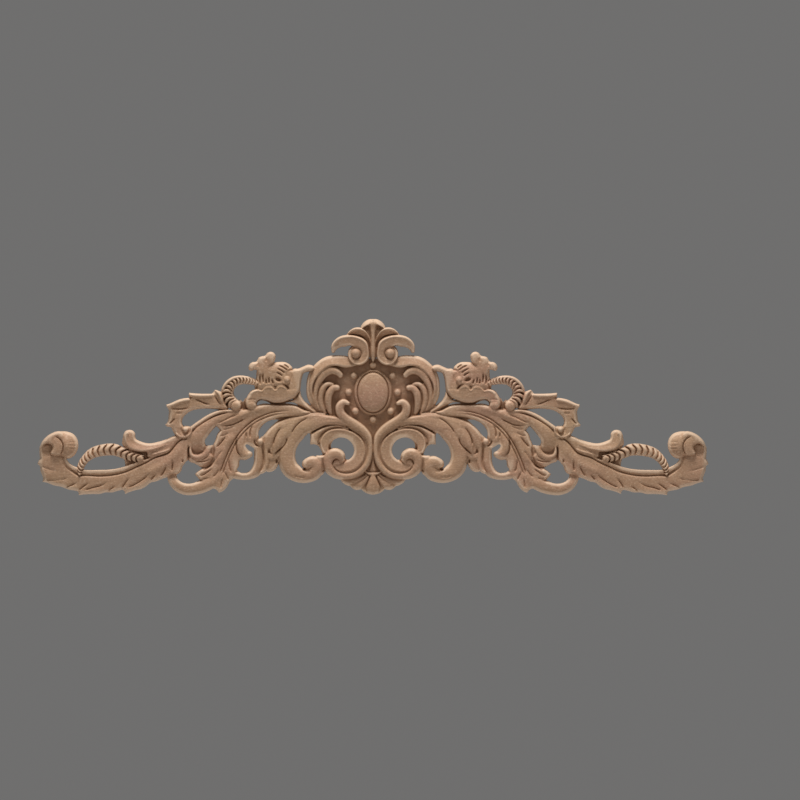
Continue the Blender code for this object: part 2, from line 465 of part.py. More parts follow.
def carve_bud(c):
    """The flower bud on its twig: sepal, scalloped petal, pleated cup and small crown."""
    c.panel([(33, 45), (38, 46), (46, 48), (56, 48), (61, 47), (67, 46), (70, 45), (72, 46.5), (71, 50),
             (67, 51.5), (60, 50.8), (52, 50), (44, 50.5), (37, 50), (33, 47)], 4.6, edge=SIDE_WALL,
            bevel=0.5)
    c.panel([(24, 42), (29, 46.6), (33, 48), (36, 46), (36, 43), (30, 41.6)], 5.4, edge=SIDE_WALL)
    c.panel([(29.6, 44.2), (33, 47), (36.4, 50.3), (37.8, 53), (38.2, 56.4, TIP), (39.5, 53.5), (42, 51),
             (45, 49.8, TIP), (42, 48.8), (38, 47.2), (33, 44.4), (30.4, 43.2)], 6.8, bevel=1.2)
    c.panel([(43.3, 65.4), (42.4, 67.2), (43.8, 69.1), (46, 70.3), (49.5, 70.5), (53, 70.2), (56, 71),
             (60, 70), (61.2, 66), (61.6, 62), (62.4, 59.5), (62, 56), (52, 55), (44, 56.6), (43.4, 61)],
            8.8, edge=5, bevel=5)
    c.panel([(52.6, 69.4), (51.5, 72), (51.3, 74), (52.3, 75.4), (54, 75.9), (55.6, 75.3), (56.9, 73.8),
             (58.5, 73.5), (60.2, 72.8), (60.9, 71.4), (61.6, 70.6), (63.2, 70.5), (64.7, 69.6),
             (65.5, 68), (65.2, 66.4), (64, 65.8), (62.7, 66.4), (61.4, 66.4), (60.4, 64), (57, 62.5),
             (54.6, 65), (54, 68)], 8.8, edge=5.4, bevel=1.3)
    c.panel([(30.4, 67.3), (31.4, 68.4), (34, 69.1), (37, 68), (39.5, 67), (41.5, 67), (43, 65.8),
             (43.6, 64.4), (43.4, 62.6), (44.4, 60), (45.4, 57), (44, 52), (41.5, 51), (39.3, 53.5),
             (38.2, 56.5), (37.9, 59.5), (37.4, 62), (36.4, 64.6), (34, 65.4), (31.6, 65.6)], 8.4,
            edge=SIDE_WALL, bevel=1.4)
    c.panel([(40, 64.8), (43.6, 66.2), (47, 63), (48, 59), (46, 55), (41, 53)], 7.9, edge=6, bevel=1)
    c.crease([(38.2, 56.2), (40.2, 52.8), (44, 50.1)], 1.2, 0.7, -0.3)
    c.dome(45.4, 61.0, 2.2, 2.3, 9.3, edge=7.6)
    c.dome(47.1, 59.4, 1.7, 1.6, 9.0, edge=7.6)
    scallops = [(44.4, 56.4), (46, 57.7), (48.5, 58.5), (50.5, 57.7), (51.6, 56.9), (53, 57.8),
                (55.2, 58.2), (57.5, 57.2), (59, 56.3), (61.2, 56.3), (63.7, 55.6), (65.4, 53.8)]
    c.panel([(38.6, 56.4), (42.6, 57)] + scallops + [(67, 50.6), (67.2, 48), (65.8, 46), (63.6, 45.6),
                                                     (61.7, 47), (61.2, 49.2), (60, 50.5), (56, 50.3),
                                                     (52.5, 48.9), (48, 49), (44.4, 50.3), (41.8, 51.4),
                                                     (39.6, 53.4)], 8.6, edge=5, bevel=1.5)
    c.ridge(beside(scallops, -0.9), 0.5, 0.9, 0.05)
    c.crease([(44.1, 55.7), (46, 58.2), (48.2, 59)], 1.6, 0.6)
    c.crease([(50.6, 58.6), (51.7, 57.6), (52.8, 58.7)], 1.4, 0.6)
    c.dome(64.2, 48, 2.5, 2.3, 9.4, edge=5.5)
    for stroke in (
        [(44.2, 67.1), (45.6, 68.4), (47.2, 69.2)],
        [(45.2, 66.2), (47.4, 67.7), (50.0, 68.7)],
        [(46.4, 64.7), (48.4, 66.1), (50.8, 67.2)],
        [(47.7, 63.1), (49.2, 64.3), (51, 65)],
        [(52.5, 58.9), (52.9, 60.2), (53.4, 61.8)],
        [(54.7, 59.1), (54.8, 60.8), (55.1, 62.8)],
        [(57, 59.3), (57.7, 62), (57.5, 65.5)],
        [(59.2, 58.5), (59.7, 62), (59.1, 65.5)],
    ):
        c.crease(stroke, 1.6, 0.6, fade=(0.15, 0.3))
    c.hollow(49.9, 61.3, 2.0, 1.3, 1.9, 25)
    c.hole([(35.4, 50.6), (35.1, 55), (35.0, 60), (35.0, 64.0, TIP), (36.2, 62.6), (36.9, 60), (37.2, 57),
            (37.0, 53.6), (36.4, 51.2)])
    c.hole([(39.4, 47.6, TIP), (43, 48.5), (46.5, 48.8, TIP), (44, 49.3), (41, 48.9)])
    c.hole([(53.8, 48.3, TIP), (58, 48.6), (61.0, 47.6, TIP), (60.9, 49.1), (59.7, 50.1), (56.5, 49.9)])


def carve_upper_leaf(c):
    """The roped ring beside the bud and the toothed leaf that arches over to a bead."""
    ring_cord = [(73, 48.2, 3.0), (75.2, 50.2, 3.3), (76.6, 53.5, 3.3), (75.8, 57, 3.0), (73, 59.8, 2.6),
                 (69, 60.9, 2.2), (65, 60.4, 1.8), (61.2, 59.4, 1.3)]
    c.band(ring_cord, 8.0, roll)
    c.ribs(ring_cord, 13, 1.5, 0.8)
    c.band([(62.5, 61.3, 0.5), (66, 62.2, 0.7), (70, 62.6, 0.8), (74, 61.7, 0.9), (77.2, 59.2, 0.9),
            (79.1, 56, 0.7)], (6.8, 7.4, 7.9, 8.3, 8.4, 7.8), roll, edge=6)
    c.dome(72.3, 47.6, 2.9, 2.8, 9.4, edge=6.5)
    c.hole([(64, 57.8), (67.5, 58.6), (70.6, 58.3), (72.4, 56.3), (72.3, 53.8), (70.6, 51.6),
            (68.9, 50.6), (67.4, 52), (66, 55)])
    c.panel([(76, 46), (78.5, 50.5), (79.4, 54.6), (81, 55.2), (83.2, 55.9, TIP), (84.1, 54.6),
             (85, 53.7), (90, 53.8), (94, 54), (96.8, 54.3, TIP), (97, 53), (96.5, 51.8), (98, 51.5),
             (101, 51), (105, 49.2), (108.8, 48.1, TIP), (108.3, 46.6), (107.5, 45), (107.6, 42),
             (108, 39.3), (109.4, 37.4, TIP), (108.3, 36.5), (106.5, 36.2), (105.3, 34), (103.5, 31.3),
             (100.5, 29.8), (97.0, 31.0), (95.0, 33.6), (95.5, 36.2), (97.3, 37), (99.8, 37),
             (100.5, 38.8), (100, 41), (98, 43.3), (95, 45), (91, 45.8), (86, 45.9), (81, 45.3, TIP)],
            7.8, edge=SIDE_WALL, bevel=1.6)
    c.band([(79.2, 48.8, 0.9), (80.4, 51.8, 1.4), (81.4, 54.2, 1.0), (82.8, 55.2, 0.6)],
           (8, 8.8, 8.8, 8.2), roll, edge=6)
    c.band([(84.7, 53.0, 0.8), (90, 52.7, 1.1), (96.2, 53.2, 0.8)], 8.6, roll, edge=6, soft=0.8)
    c.band([(97.2, 50.6, 1.0), (101.5, 49.7, 1.2), (105.4, 48.2, 1.0), (108.2, 47.4, 0.6)], 8.6, roll,
           edge=6, soft=0.8)
    for line, depth, wide in (
        ([(85.5, 48.2), (88.5, 48.9), (91, 50), (94.2, 51.4)], 1.5, 0.8),
        ([(96.5, 46.7), (100, 46), (104, 45.9), (107, 46.5)], 1.4, 0.8),
        ([(79.8, 47.6), (82, 50.6), (83.4, 53.2)], 1.3, 0.8),
        ([(104.3, 41.2), (106, 39.2), (107.8, 37.7)], 1.4, 0.8),
    ):
        c.crease(line, depth, wide, -0.5)
    c.hollow(98.6, 34.6, 3.2, 3.2, 1.4)
    c.band([(95.6, 35.2, 0.6), (96.2, 32.8, 0.8), (98.8, 31.2, 0.9), (101.8, 31.4, 0.8),
            (103.6, 33, 0.5)], 8.2, roll, edge=6.4)
    c.dome(98.7, 34.9, 1.7, 1.6, 9.0, edge=6.4)
    c.hole([(81, 45.3, TIP), (86, 45.9), (91, 45.8), (95, 45), (98.3, 43), (100.2, 40.8), (100.4, 38.4),
            (99.9, 37.2), (97.8, 37.1), (95.8, 36.3, TIP), (92, 39.5), (87, 42.6)])


def carve_lower_scroll(c):
    """The stem that swings under the main leaf and up to the outer leaf."""
    c.band([(81, 10.5, 1.6), (84.5, 7.2, 2.8), (89, 5.3, 3.4), (94, 4.0, 3.4), (98.5, 3.7, 3.2),
            (102.8, 5.5, 3.0), (105.4, 9, 2.7), (106, 12, 2.2)],
           (7.5, 8, 8.2, 8.2, 8, 7.8, 6.6, 5.2), soft=0.8)
    c.hole([(90, 14.7, TIP), (93, 16.8), (96.3, 18.7), (97.8, 18.5), (100, 15.2), (101.5, 12.5),
            (103.4, 11.2, TIP), (102.9, 9.2), (101, 7.4), (98, 6.5), (94.2, 6.9), (91.4, 8.7, TIP),
            (93.8, 11.5, TIP)])


def carve_middle_stem(c):
    """The thick stem between the leaves; it ends as a rounded bud in two cups."""
    c.panel([(70, 44), (76, 45), (81, 45.2), (86, 43), (91, 39.8), (95.5, 36.6), (97.4, 33), (97.3, 26),
             (97.6, 20), (97, 18.6), (93, 16.8), (90, 14.8), (86.5, 15.4), (84, 18), (83.4, 22),
             (84, 26.8), (88, 26.8), (88.6, 28.5), (87, 31.5), (84.4, 34.8), (80, 39), (74, 42)], 6.0,
            edge=SIDE_WALL, bevel=0.8)
    c.panel([(86, 33), (93, 35.4), (96.6, 33), (98.6, 30.6), (99.4, 28), (97.4, 25.6), (92, 25)], 7.4,
            bevel=1.2)
    c.band([(69, 45.2, 0.8), (76, 43.0, 1.5), (81, 41.0, 2.3), (86, 37.9, 3.4), (90.2, 34, 4.2),
            (92.2, 29.5, 4.4), (92.0, 26.5, 4.0)], (7, 7.8, 8.0, 8.4, 8.8, 8.6, 8), crown, soft=1.2)
    c.band([(74, 44.7, 0.6), (81, 44.1, 1.0), (86, 42.0, 1.1), (91, 38.8, 1.1), (95.2, 35.8, 1.1)],
           8.0, pillow, edge=6)
    c.crease([(76, 43.8), (81, 42.9), (86, 40.6), (91, 37.4), (95.0, 34.5)], 1.0, 0.5)
    c.band([(85.9, 25.8, 1.6), (87.2, 23.4, 2.0), (89.4, 21.2, 1.9), (92.8, 20.3, 1.7), (95.4, 21.5, 1.3),
            (96.2, 24.6, 0.9), (95.9, 26.4, 0.6)], (7.2, 7.6, 7.8, 8, 8, 7.8, 7.4), pillow)
    c.hollow(92, 24.6, 2.9, 2.4, 1.4)
    c.panel([(84, 21), (86.2, 17.4), (90, 15.4), (94, 17.2), (97, 18.9), (96.6, 20.8), (92, 19.6),
             (88, 20.4), (86, 23)], 7.4, edge=5.4, bevel=1.6)
    c.crease([(85.4, 19.8), (88, 18.4), (92, 18.1), (94.6, 18.6)], 1.2, 0.6)
    c.crease([(96.8, 26.2), (97.3, 23), (97, 19.4)], 1.4, 0.6)
    c.hole([(81.2, 35.6, TIP), (84, 34.5), (87, 31.5), (88.6, 28.5), (88, 27.0), (84.2, 27.2), (83.4, 29),
            (82.3, 32)])


def carve_outer_leaf(c):
    """The long toothed leaf that runs out to the end of the ornament."""
    c.panel([(96.8, 33), (98, 30.6), (101, 30.2), (104, 27.3), (107, 23.3), (111, 21.7), (115, 20.5),
             (119, 18), (124, 15.8), (130, 13), (137, 11.3), (144, 10.8), (151, 11.2), (154.4, 11),
             (158, 13), (161, 15.4), (163, 20), (168, 22), (173, 21), (175.3, 19.5), (176.6, 16.8, TIP),
             (175.3, 15.5), (175.1, 13.5), (174.2, 11), (173.6, 9.3), (174.1, 7.5, TIP), (171, 6.8),
             (168, 5.6), (164, 4.8), (160, 3.3), (157, 2.8), (155.3, 2.3), (154.9, 0.4, TIP), (152, 0.8),
             (148, 1), (143.5, 1.1), (141, 1.8), (137, 1.9), (134, 2.8), (131.4, 3), (130.5, 1.0, TIP),
             (128, 2.1), (125, 3), (122, 3.7), (119.5, 5), (117, 7), (114, 7.7), (111, 9),
             (108.3, 9.8, TIP), (106, 10.8), (103.5, 11.2, TIP), (101.5, 12.3), (100, 16), (97.6, 18.6),
             (96.9, 24)], 7.6, edge=SIDE_WALL, bevel=1.5)
    c.ridge([(100, 28), (103, 23), (107, 18.5), (114, 14.5), (122, 11)], 0.6, 3.6)
    for line in (
        [(105.7, 19.5), (105.5, 16), (105.9, 13)],
        [(108.5, 17), (109.8, 13.2), (112, 10)],
        [(114.5, 11.5), (115.6, 9.8), (117, 8.2)],
        [(117, 13), (119.6, 9.8), (123.6, 7), (129.3, 4.2)],
        [(128, 9.8), (130, 7.2), (132, 3.8)],
        [(135.2, 5.2), (137.8, 3.7), (140.4, 1.6)],
        [(139.4, 7.6), (143.5, 5.3), (148, 4.2), (152, 2.8)],
        [(149.4, 6.9), (152.2, 5), (155, 2.8)],
        [(155.4, 7.2), (159, 5.4), (163.4, 4.2)],
        [(160, 9.6), (165, 8.3), (172.6, 8.5)],
        [(165.4, 13), (169.6, 13.6), (175, 15.7)],
    ):
        c.crease(line, 1.3, 0.85, 0.5, (0.4, 0.15))


def carve_roped_arch(c):
    """The upper stem with its knob, the roped arch that springs from it and the rim it stands on."""
    c.panel([(99, 30.4), (103.5, 32), (106, 31.2), (110, 29.3), (113, 28.3), (117, 28), (120, 28.2),
             (123, 29), (125, 30.3), (125.3, 33), (126.3, 34.3), (128, 34.8), (130.5, 34), (131.5, 31),
             (132, 29), (131.6, 26.4), (129, 24.2), (124, 22.8), (119, 22.4), (113, 21.8),
             (107, 23.4), (104, 27)], 7.4, edge=SIDE_WALL, bevel=1.2)
    c.panel([(112, 22), (120, 24), (128, 25), (131, 24), (130.5, 17), (130, 13.5), (124, 15.3),
             (118, 18)], 5.0, edge=SIDE_WALL, bevel=0.6)
    c.band([(99.4, 31, 1.5), (102.4, 29, 1.5), (105, 26, 1.6), (108, 23, 1.6), (113, 21.2, 1.5),
            (118, 18.8, 1.4), (124, 16, 1.3), (130, 13.4, 1.3), (137, 11.6, 1.3), (144, 11.1, 1.3),
            (151, 11.6, 1.3), (156, 12.6, 1.3), (160.6, 15.8, 1.3), (162.6, 19.5, 1.2)], 7.2)
    c.band([(101.6, 30.2, 1.0), (106, 28.4, 2.3), (112, 26.0, 2.3), (118, 25.6, 2.6), (124, 26.4, 3.2),
            (127.8, 28.6, 3.4), (128.4, 31.4, 3.2)], (7.2, 7.8, 8.2, 8.4, 8.6, 9, 9.2), pillow, soft=1.0)
    c.hollow(121.5, 24.4, 4.5, 1.8, 0.9, 8)
    c.ridge([(106, 25.2), (109, 23.7), (113, 22.6), (117.5, 21.4)], 0.7, 0.8)
    c.crease([(99.4, 30.6), (102.4, 28.6), (105, 25.6), (107.5, 22.9), (111, 21.4), (115, 20.1),
              (118, 18.4), (124, 15.6), (130, 12.9), (137, 11.2), (144, 10.7), (151, 11.1), (154.4, 11.3),
              (158, 13.2), (160.8, 15.8), (162.6, 19.5)], 1.3, 0.6, 0.1, (0.02, 0.02))
    c.band([(116, 19.9, 0.6), (120, 18.6, 0.9), (125, 16.6, 1.1), (131, 14.3, 1.2), (138, 12.7, 1.3),
            (145, 12.4, 1.3), (152, 12.6, 1.3), (157, 14.2, 1.2), (160.5, 16.5, 1.1), (162.3, 19.8, 0.8)],
           7.4, flat, edge=5.6)
    arch_cord = [(123.5, 20.0, 2.1), (126.5, 20.7, 2.4), (130.5, 22.1, 2.7), (136, 24.3, 3.1),
                 (142, 24.1, 3.1), (148, 22.3, 2.7), (151, 19.8, 2.3), (153.2, 16.8, 2.0),
                 (154.2, 14, 1.7), (154.6, 11.6, 1.1)]
    c.band(arch_cord, 8.0, roll)
    c.ribs(arch_cord, 18, 1.5, 0.8)
    c.dome(122.0, 19.7, 1.9, 1.9, 9.0, edge=6.4)
    c.hole([(130.5, 15.6, TIP), (134, 14.6), (140, 13.9), (146, 13.8), (151.6, 14.2, TIP), (151, 16.4),
            (148.6, 18.8), (145, 20.4), (140, 21.2), (136, 20.8), (132.6, 19.4), (130.6, 17.6)])


def carve_end_volute(c):
    """The outer leaf's stem rising to the rolled knob at the very end."""
    c.panel([(161.5, 10), (162.4, 16), (163, 21), (164, 25), (175.4, 26), (175.5, 22), (175.2, 19),
             (175.4, 16.4), (174.4, 13), (173, 9.4), (169, 7.4), (164, 7)], 7.4, bevel=1.4, soft=1.2)
    c.panel([(155.1, 27.4), (155.9, 30.4), (157.9, 32.7), (160.8, 33.8), (164.6, 34), (168.2, 33.4),
             (168, 28), (167, 22), (165.5, 20.4), (161, 20.5), (157.5, 21.8), (155.5, 24.5)], 9.4,
            bevel=4.4)
    c.panel([(162, 32), (164.6, 34), (168.4, 33.3), (171.9, 31.2), (174.4, 28.2), (175.4, 25, TIP),
             (173.8, 26.6), (171.4, 27), (169.6, 26, TIP), (170.3, 24.4), (170.2, 22.6), (168.8, 21),
             (165.8, 20.4), (163.4, 21)], 9.4, edge=5, bevel=2.4)
    c.dome(161.2, 27.2, 5.8, 6.2, 10.2, edge=7)
    c.crease([(167.8, 31.4), (165.5, 30.4), (163.9, 28.6), (163.2, 26), (163.6, 23.5), (165, 21.4)],
             1.5, 0.6, -0.3, (0.15, 0.1))
    c.hollow(172.4, 25.4, 2.4, 1.8, 1.0)


def trimmed_grid(carving, outside):
    """The grid's triangles, cut along the outline. A grid point close to the outline is moved onto it.
    Returns the points, their grid numbers (-1 for a point that a cut made) and the triangles."""
    x, z = np.meshgrid(carving.x, carving.z)
    level = outside.copy()
    slope_z, slope_x = np.gradient(level, carving.pitch)
    steep = np.maximum(slope_x**2 + slope_z**2, 0.25)
    near = np.abs(level) < SNAP * carving.pitch
    x = np.where(near, x - level * slope_x / steep, x)
    z = np.where(near, z - level * slope_z / steep, z)
    x[:, 0] = 0.0
    level[near] = 0.0
    places = np.column_stack([x.ravel(), z.ravel()])
    level = level.ravel()

    number = np.arange(level.size).reshape(x.shape)
    a, b, c, d = number[:-1, :-1], number[:-1, 1:], number[1:, 1:], number[1:, :-1]
    faces = np.vstack([np.stack(corners, -1).reshape(-1, 3) for corners in ((a, b, c), (a, c, d))])
    high = level[faces] > 0
    count = high.sum(1)

    def turned(chosen, lead):
        return np.take_along_axis(chosen, (lead.argmax(1)[:, None] + np.arange(3)) % 3, 1)

    def corner(m, n):
        return np.minimum(m, n) * level.size + np.maximum(m, n)

    whole = faces[(count == 0) & (level[faces] < 0).any(1)]
    codes = [corner(whole, whole)]
    p, q, r = turned(faces[count == 1], high[count == 1]).T
    in_q, in_r = level[q] < 0, level[r] < 0
    for pick, corners in (
        (in_q & in_r, ((q, q), (r, r), (r, p))),
        (in_q & in_r, ((q, q), (r, p), (p, q))),
        (~in_q & in_r, ((q, q), (r, r), (r, p))),
        (in_q & ~in_r, ((q, q), (r, r), (p, q))),
    ):
        codes.append(np.column_stack([corner(m[pick], n[pick]) for m, n in corners]))
    q, p, r = turned(faces[count == 2], ~high[count == 2]).T
    pick = level[q] < 0
    codes.append(np.column_stack([corner(m[pick], n[pick]) for m, n in ((q, q), (q, p), (q, r))]))

    used, triangles = np.unique(np.vstack(codes), return_inverse=True)
    m, n = used // level.size, used % level.size
    share = np.where(m == n, 0.0, level[m] / np.where(m == n, 1.0, level[m] - level[n]))
    points = places[m] + share[:, None] * (places[n] - places[m])
    return points, np.where(m == n, m, -1), triangles.reshape(-1, 3)


def border(triangles, count):
    """The directed edges that only one triangle has."""
    edges = np.vstack([triangles[:, [0, 1]], triangles[:, [1, 2]], triangles[:, [2, 0]]])
    ahead = edges[:, 0] * count + edges[:, 1]
    back = edges[:, 1] * count + edges[:, 0]
    return edges[~np.isin(ahead, back)]


def reading(carving, points):
    """The carving's height at free places, between its grid points."""
    i = np.clip((points[:, 0] - carving.x[0]) / carving.pitch, 0, len(carving.x) - 1.001)
    j = np.clip((points[:, 1] - carving.z[0]) / carving.pitch, 0, len(carving.z) - 1.001)
    i0, j0 = i.astype(int), j.astype(int)
    fi, fj = i - i0, j - j0
    field = carving.height
    low = field[j0, i0] * (1 - fi) + field[j0, i0 + 1] * fi
    high = field[j0 + 1, i0] * (1 - fi) + field[j0 + 1, i0 + 1] * fi
    return low * (1 - fj) + high * fj


def half_mesh(carving):
    """The carved half with side walls and a flat back, open on the centre plane."""
    outside = carving.outside.copy()
    while True:
        points, grid_number, triangles = trimmed_grid(carving, outside)
        rim = border(triangles, len(points))
        starts, times = np.unique(rim[:, 0], return_counts=True)
        pinched = grid_number[starts[times > 1]]
        if not len(pinched):
            break
        outside.ravel()[pinched] = -carving.pitch

    height = np.maximum(reading(carving, points), THINNEST)
    x, z = points[:, 0] * UNIT, (points[:, 1] - CABOCHON_HEIGHT) * UNIT
    front = np.column_stack([x, -height * UNIT, z])
    back = np.column_stack([x, np.zeros(len(x)), z])
    wall = rim[(points[rim][:, :, 0] > 1e-6).any(1)]
    u, v = wall.T
    below = len(points)
    walls = np.vstack([np.column_stack([v, u, u + below]), np.column_stack([v, u + below, v + below])])
    faces = np.vstack([triangles, triangles[:, ::-1] + below, walls])
    mesh = bpy.data.meshes.new("applique")
    mesh.from_pydata(np.vstack([front, back]).tolist(), [], faces.tolist())
    return mesh


def thin_out(half, triangles):
    """Leaves about that many triangles and sets the open edge back on the centre plane."""
    thin = half.modifiers.new("Thin out", "DECIMATE")
    thin.ratio = triangles / len(half.data.polygons)
    thinned = half.evaluated_get(bpy.context.evaluated_depsgraph_get())
    half.data = bpy.data.meshes.new_from_object(thinned)
    half.modifiers.remove(thin)
    body = bmesh.new()
    body.from_mesh(half.data)
    for edge in body.edges:
        if edge.is_boundary:
            for vert in edge.verts:
                vert.co.x = 0.0
    body.to_mesh(half.data)
    body.free()


def wood():
    material = bpy.data.materials.new("raw_wood")
    material.use_nodes = True
    shader = material.node_tree.nodes["Principled BSDF"]
    shader.inputs["Base Color"].default_value = WOOD
    shader.inputs["Roughness"].default_value = 0.7
    return material


def main():
    for thing in list(bpy.data.objects):
        bpy.data.objects.remove(thing)
    carving = Carving(GRID_PITCH)
    for carve in (
        carve_shield, carve_shell, carve_heart, carve_leaf_scroll, carve_crest, carve_cabochon, carve_trunk,
        carve_main_leaf, carve_bud, carve_upper_leaf, carve_outer_leaf, carve_lower_scroll, carve_middle_stem,
        carve_roped_arch, carve_end_volute,
    ):
        carve(carving)

    mesh = half_mesh(carving)
    mesh.materials.append(wood())
    applique = bpy.data.objects.new("applique", mesh)
    home = bpy.data.collections.new("applique")
    bpy.context.scene.collection.children.link(home)
    home.objects.link(applique)
    thin_out(applique, TRIANGLES // 2)
    mirror = applique.modifiers.new("Other half", "MIRROR")
    mirror.merge_threshold = 1e-5


main()
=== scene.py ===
import math

import bmesh
import bpy
import numpy as np
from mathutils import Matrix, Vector
from mathutils.bvhtree import BVHTree


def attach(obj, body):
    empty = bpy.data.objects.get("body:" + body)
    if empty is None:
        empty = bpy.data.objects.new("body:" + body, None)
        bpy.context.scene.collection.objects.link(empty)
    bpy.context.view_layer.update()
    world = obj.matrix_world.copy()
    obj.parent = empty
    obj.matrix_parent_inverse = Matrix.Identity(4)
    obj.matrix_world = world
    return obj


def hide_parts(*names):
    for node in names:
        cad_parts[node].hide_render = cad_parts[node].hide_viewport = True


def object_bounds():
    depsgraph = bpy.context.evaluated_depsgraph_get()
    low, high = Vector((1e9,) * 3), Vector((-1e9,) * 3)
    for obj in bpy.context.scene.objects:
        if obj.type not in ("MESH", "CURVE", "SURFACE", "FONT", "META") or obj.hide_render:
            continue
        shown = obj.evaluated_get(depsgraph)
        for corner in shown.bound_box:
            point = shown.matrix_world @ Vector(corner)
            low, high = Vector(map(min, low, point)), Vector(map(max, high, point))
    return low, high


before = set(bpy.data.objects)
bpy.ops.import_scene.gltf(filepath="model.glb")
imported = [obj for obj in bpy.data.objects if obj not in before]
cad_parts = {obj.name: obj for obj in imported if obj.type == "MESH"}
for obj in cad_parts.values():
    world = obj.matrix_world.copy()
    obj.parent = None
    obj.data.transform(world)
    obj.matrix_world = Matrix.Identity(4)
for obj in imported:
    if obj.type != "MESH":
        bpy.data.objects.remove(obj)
cad_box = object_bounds()


# The board the ornament is carved from: bare wood about ten millimetres thick, with a flat back. Its right
# half is a field of heights above that back, on an even grid in the drawing's own unit of about a millimetre.
# x runs out from the centre line, z up from the foot. A second field is negative inside the outline.
DRAWN_HALF = 178.0
DRAWN_HEIGHT = 95.0
PITCH = 0.2
grid_x = np.arange(0.0, DRAWN_HALF + PITCH / 2, PITCH)
grid_z = np.arange(-1.0, DRAWN_HEIGHT + PITCH / 2, PITCH)
height = np.zeros((len(grid_z), len(grid_x)))
outside = np.full(height.shape, 6.0)


# The shield in the middle: a sunk field, its broad raised frame and three fingers that curl in over the field
# from each side. All of it is the same wood, cut down from the board's face with gouges.
SIDE_WALL = 3.8
BAND_EDGE = 4.0
THINNEST = 2.6
NARROWEST = 0.2
SKIRT_SLOPE = 4.0
SKIRT_REACH = 1.6
STROKE_STEP = 0.6
NARROWEST_CUT = 0.35
GENTLE_SIDE = 2.2
STEEP_SIDE = 1.3


def trace(points, closed=False):
    """A smooth line through a stroke's points, in even steps; every value of a point is carried along."""
    knots = np.array(points, float)
    if closed:
        knots = np.vstack([knots[-2:], knots, knots[:3]])
    run = np.concatenate([[0.0], np.cumsum(np.hypot(*np.diff(knots[:, :2], axis=0).T))])
    lean = np.gradient(knots, run, axis=0, edge_order=2 if len(knots) > 2 else 1)
    start, stop = (run[2], run[-3]) if closed else (0.0, run[-1])
    at = np.linspace(start, stop, max(3, int((stop - start) / STROKE_STEP) + 1))
    i = np.clip(np.searchsorted(run, at, side="right") - 1, 0, len(run) - 2)
    gap = (run[i + 1] - run[i])[:, None]
    t = (at[:, None] - run[i][:, None]) / gap
    return (
        (2 * t**3 - 3 * t**2 + 1) * knots[i]
        + (t**3 - 2 * t**2 + t) * gap * lean[i]
        + (3 * t**2 - 2 * t**3) * knots[i + 1]
        + (t**3 - t**2) * gap * lean[i + 1]
    )


def ring(outline):
    """A closed smooth line; a point with a third value, TIP, is a sharp corner."""
    corners = [i for i, point in enumerate(outline) if len(point) > 2]
    flat_points = [point[:2] for point in outline]
    if not corners:
        return trace(flat_points, closed=True)
    spans = []
    for here, there in zip(corners, corners[1:] + [corners[0] + len(outline)]):
        spans.append(trace([flat_points[k % len(outline)] for k in range(here, there + 1)])[:-1])
    rows = np.vstack(spans)
    return np.vstack([rows, rows[:1]])


def offsets(path, x, z):
    """For each place: its distance to a path, the side it lies on (left is +1), the path's values at the
    nearest point, and how far along the path that point is, from 0 to 1."""
    start, step = path[:-1], np.diff(path, axis=0)
    dx = x.ravel()[:, None] - start[:, 0]
    dz = z.ravel()[:, None] - start[:, 1]
    t = np.clip((dx * step[:, 0] + dz * step[:, 1]) / (step[:, :2] ** 2).sum(1), 0, 1)
    dx -= t * step[:, 0]
    dz -= t * step[:, 1]
    far = dx * dx + dz * dz
    near = far.argmin(1)
    row = np.arange(len(near))
    t = t[row, near]
    side = np.sign(step[near, 0] * dz[row, near] - step[near, 1] * dx[row, near])
    values = start[near] + t[:, None] * step[near]
    return (
        np.sqrt(far[row, near]).reshape(x.shape),
        side.reshape(x.shape),
        values.reshape(x.shape + (-1,)),
        ((near + t) / len(start)).reshape(x.shape),
    )


def is_inside(path, x, z):
    """True where a place lies inside a closed path."""
    after = np.roll(path, -1, axis=0)
    px, pz = x.ravel()[:, None], z.ravel()[:, None]
    rise = after[:, 1] - path[:, 1]
    rise = np.where(np.abs(rise) < 1e-9, 1e-9, rise)
    spans = (path[:, 1] > pz) != (after[:, 1] > pz)
    crossed = px < path[:, 0] + (pz - path[:, 1]) * (after[:, 0] - path[:, 0]) / rise
    return ((spans & crossed).sum(1) % 2 == 1).reshape(x.shape)


def window(path, reach):
    """The grid round a path: its slice, and the x and z of its places."""
    low = path[:, :2].min(0) - reach
    high = path[:, :2].max(0) + reach
    i = np.searchsorted(grid_x, [low[0], high[0]])
    j = np.searchsorted(grid_z, [low[1], high[1]])
    x, z = np.meshgrid(grid_x[i[0]:i[1]], grid_z[j[0]:j[1]])
    return np.s_[j[0]:j[1], i[0]:i[1]], x, z


def lay(here, top, away, edge, soft):
    """Puts a form on what is there. Outside the form a steep skirt falls from its edge, and soft is the width
    of the fillet between the two."""
    top = np.where(away > 0, edge - SKIRT_SLOPE * away, top)
    below = height[here]
    fillet = np.maximum(soft - np.abs(top - below), 0) ** 2 / (4 * soft)
    height[here] = np.maximum(below, top) + fillet
    outside[here] = np.minimum(outside[here], away)


def cut(here, depth):
    """Takes wood away, but never below the thinnest wood that is left."""
    was = height[here]
    height[here] = np.minimum(was, np.maximum(was - depth, THINNEST))


def crown(u):
    """A stroke's section: nearly flat, a little crowned, with tight round edges. u runs from -1 to 1."""
    return (1 - 0.2 * u * u) * np.sqrt(np.clip(1 - np.abs(u) ** 6, 0, 1))


def slope_left(u):
    """A face that slopes down to the left edge."""
    return (0.74 - 0.26 * u) * np.sqrt(np.clip(1 - np.abs(u) ** 6, 0, 1))


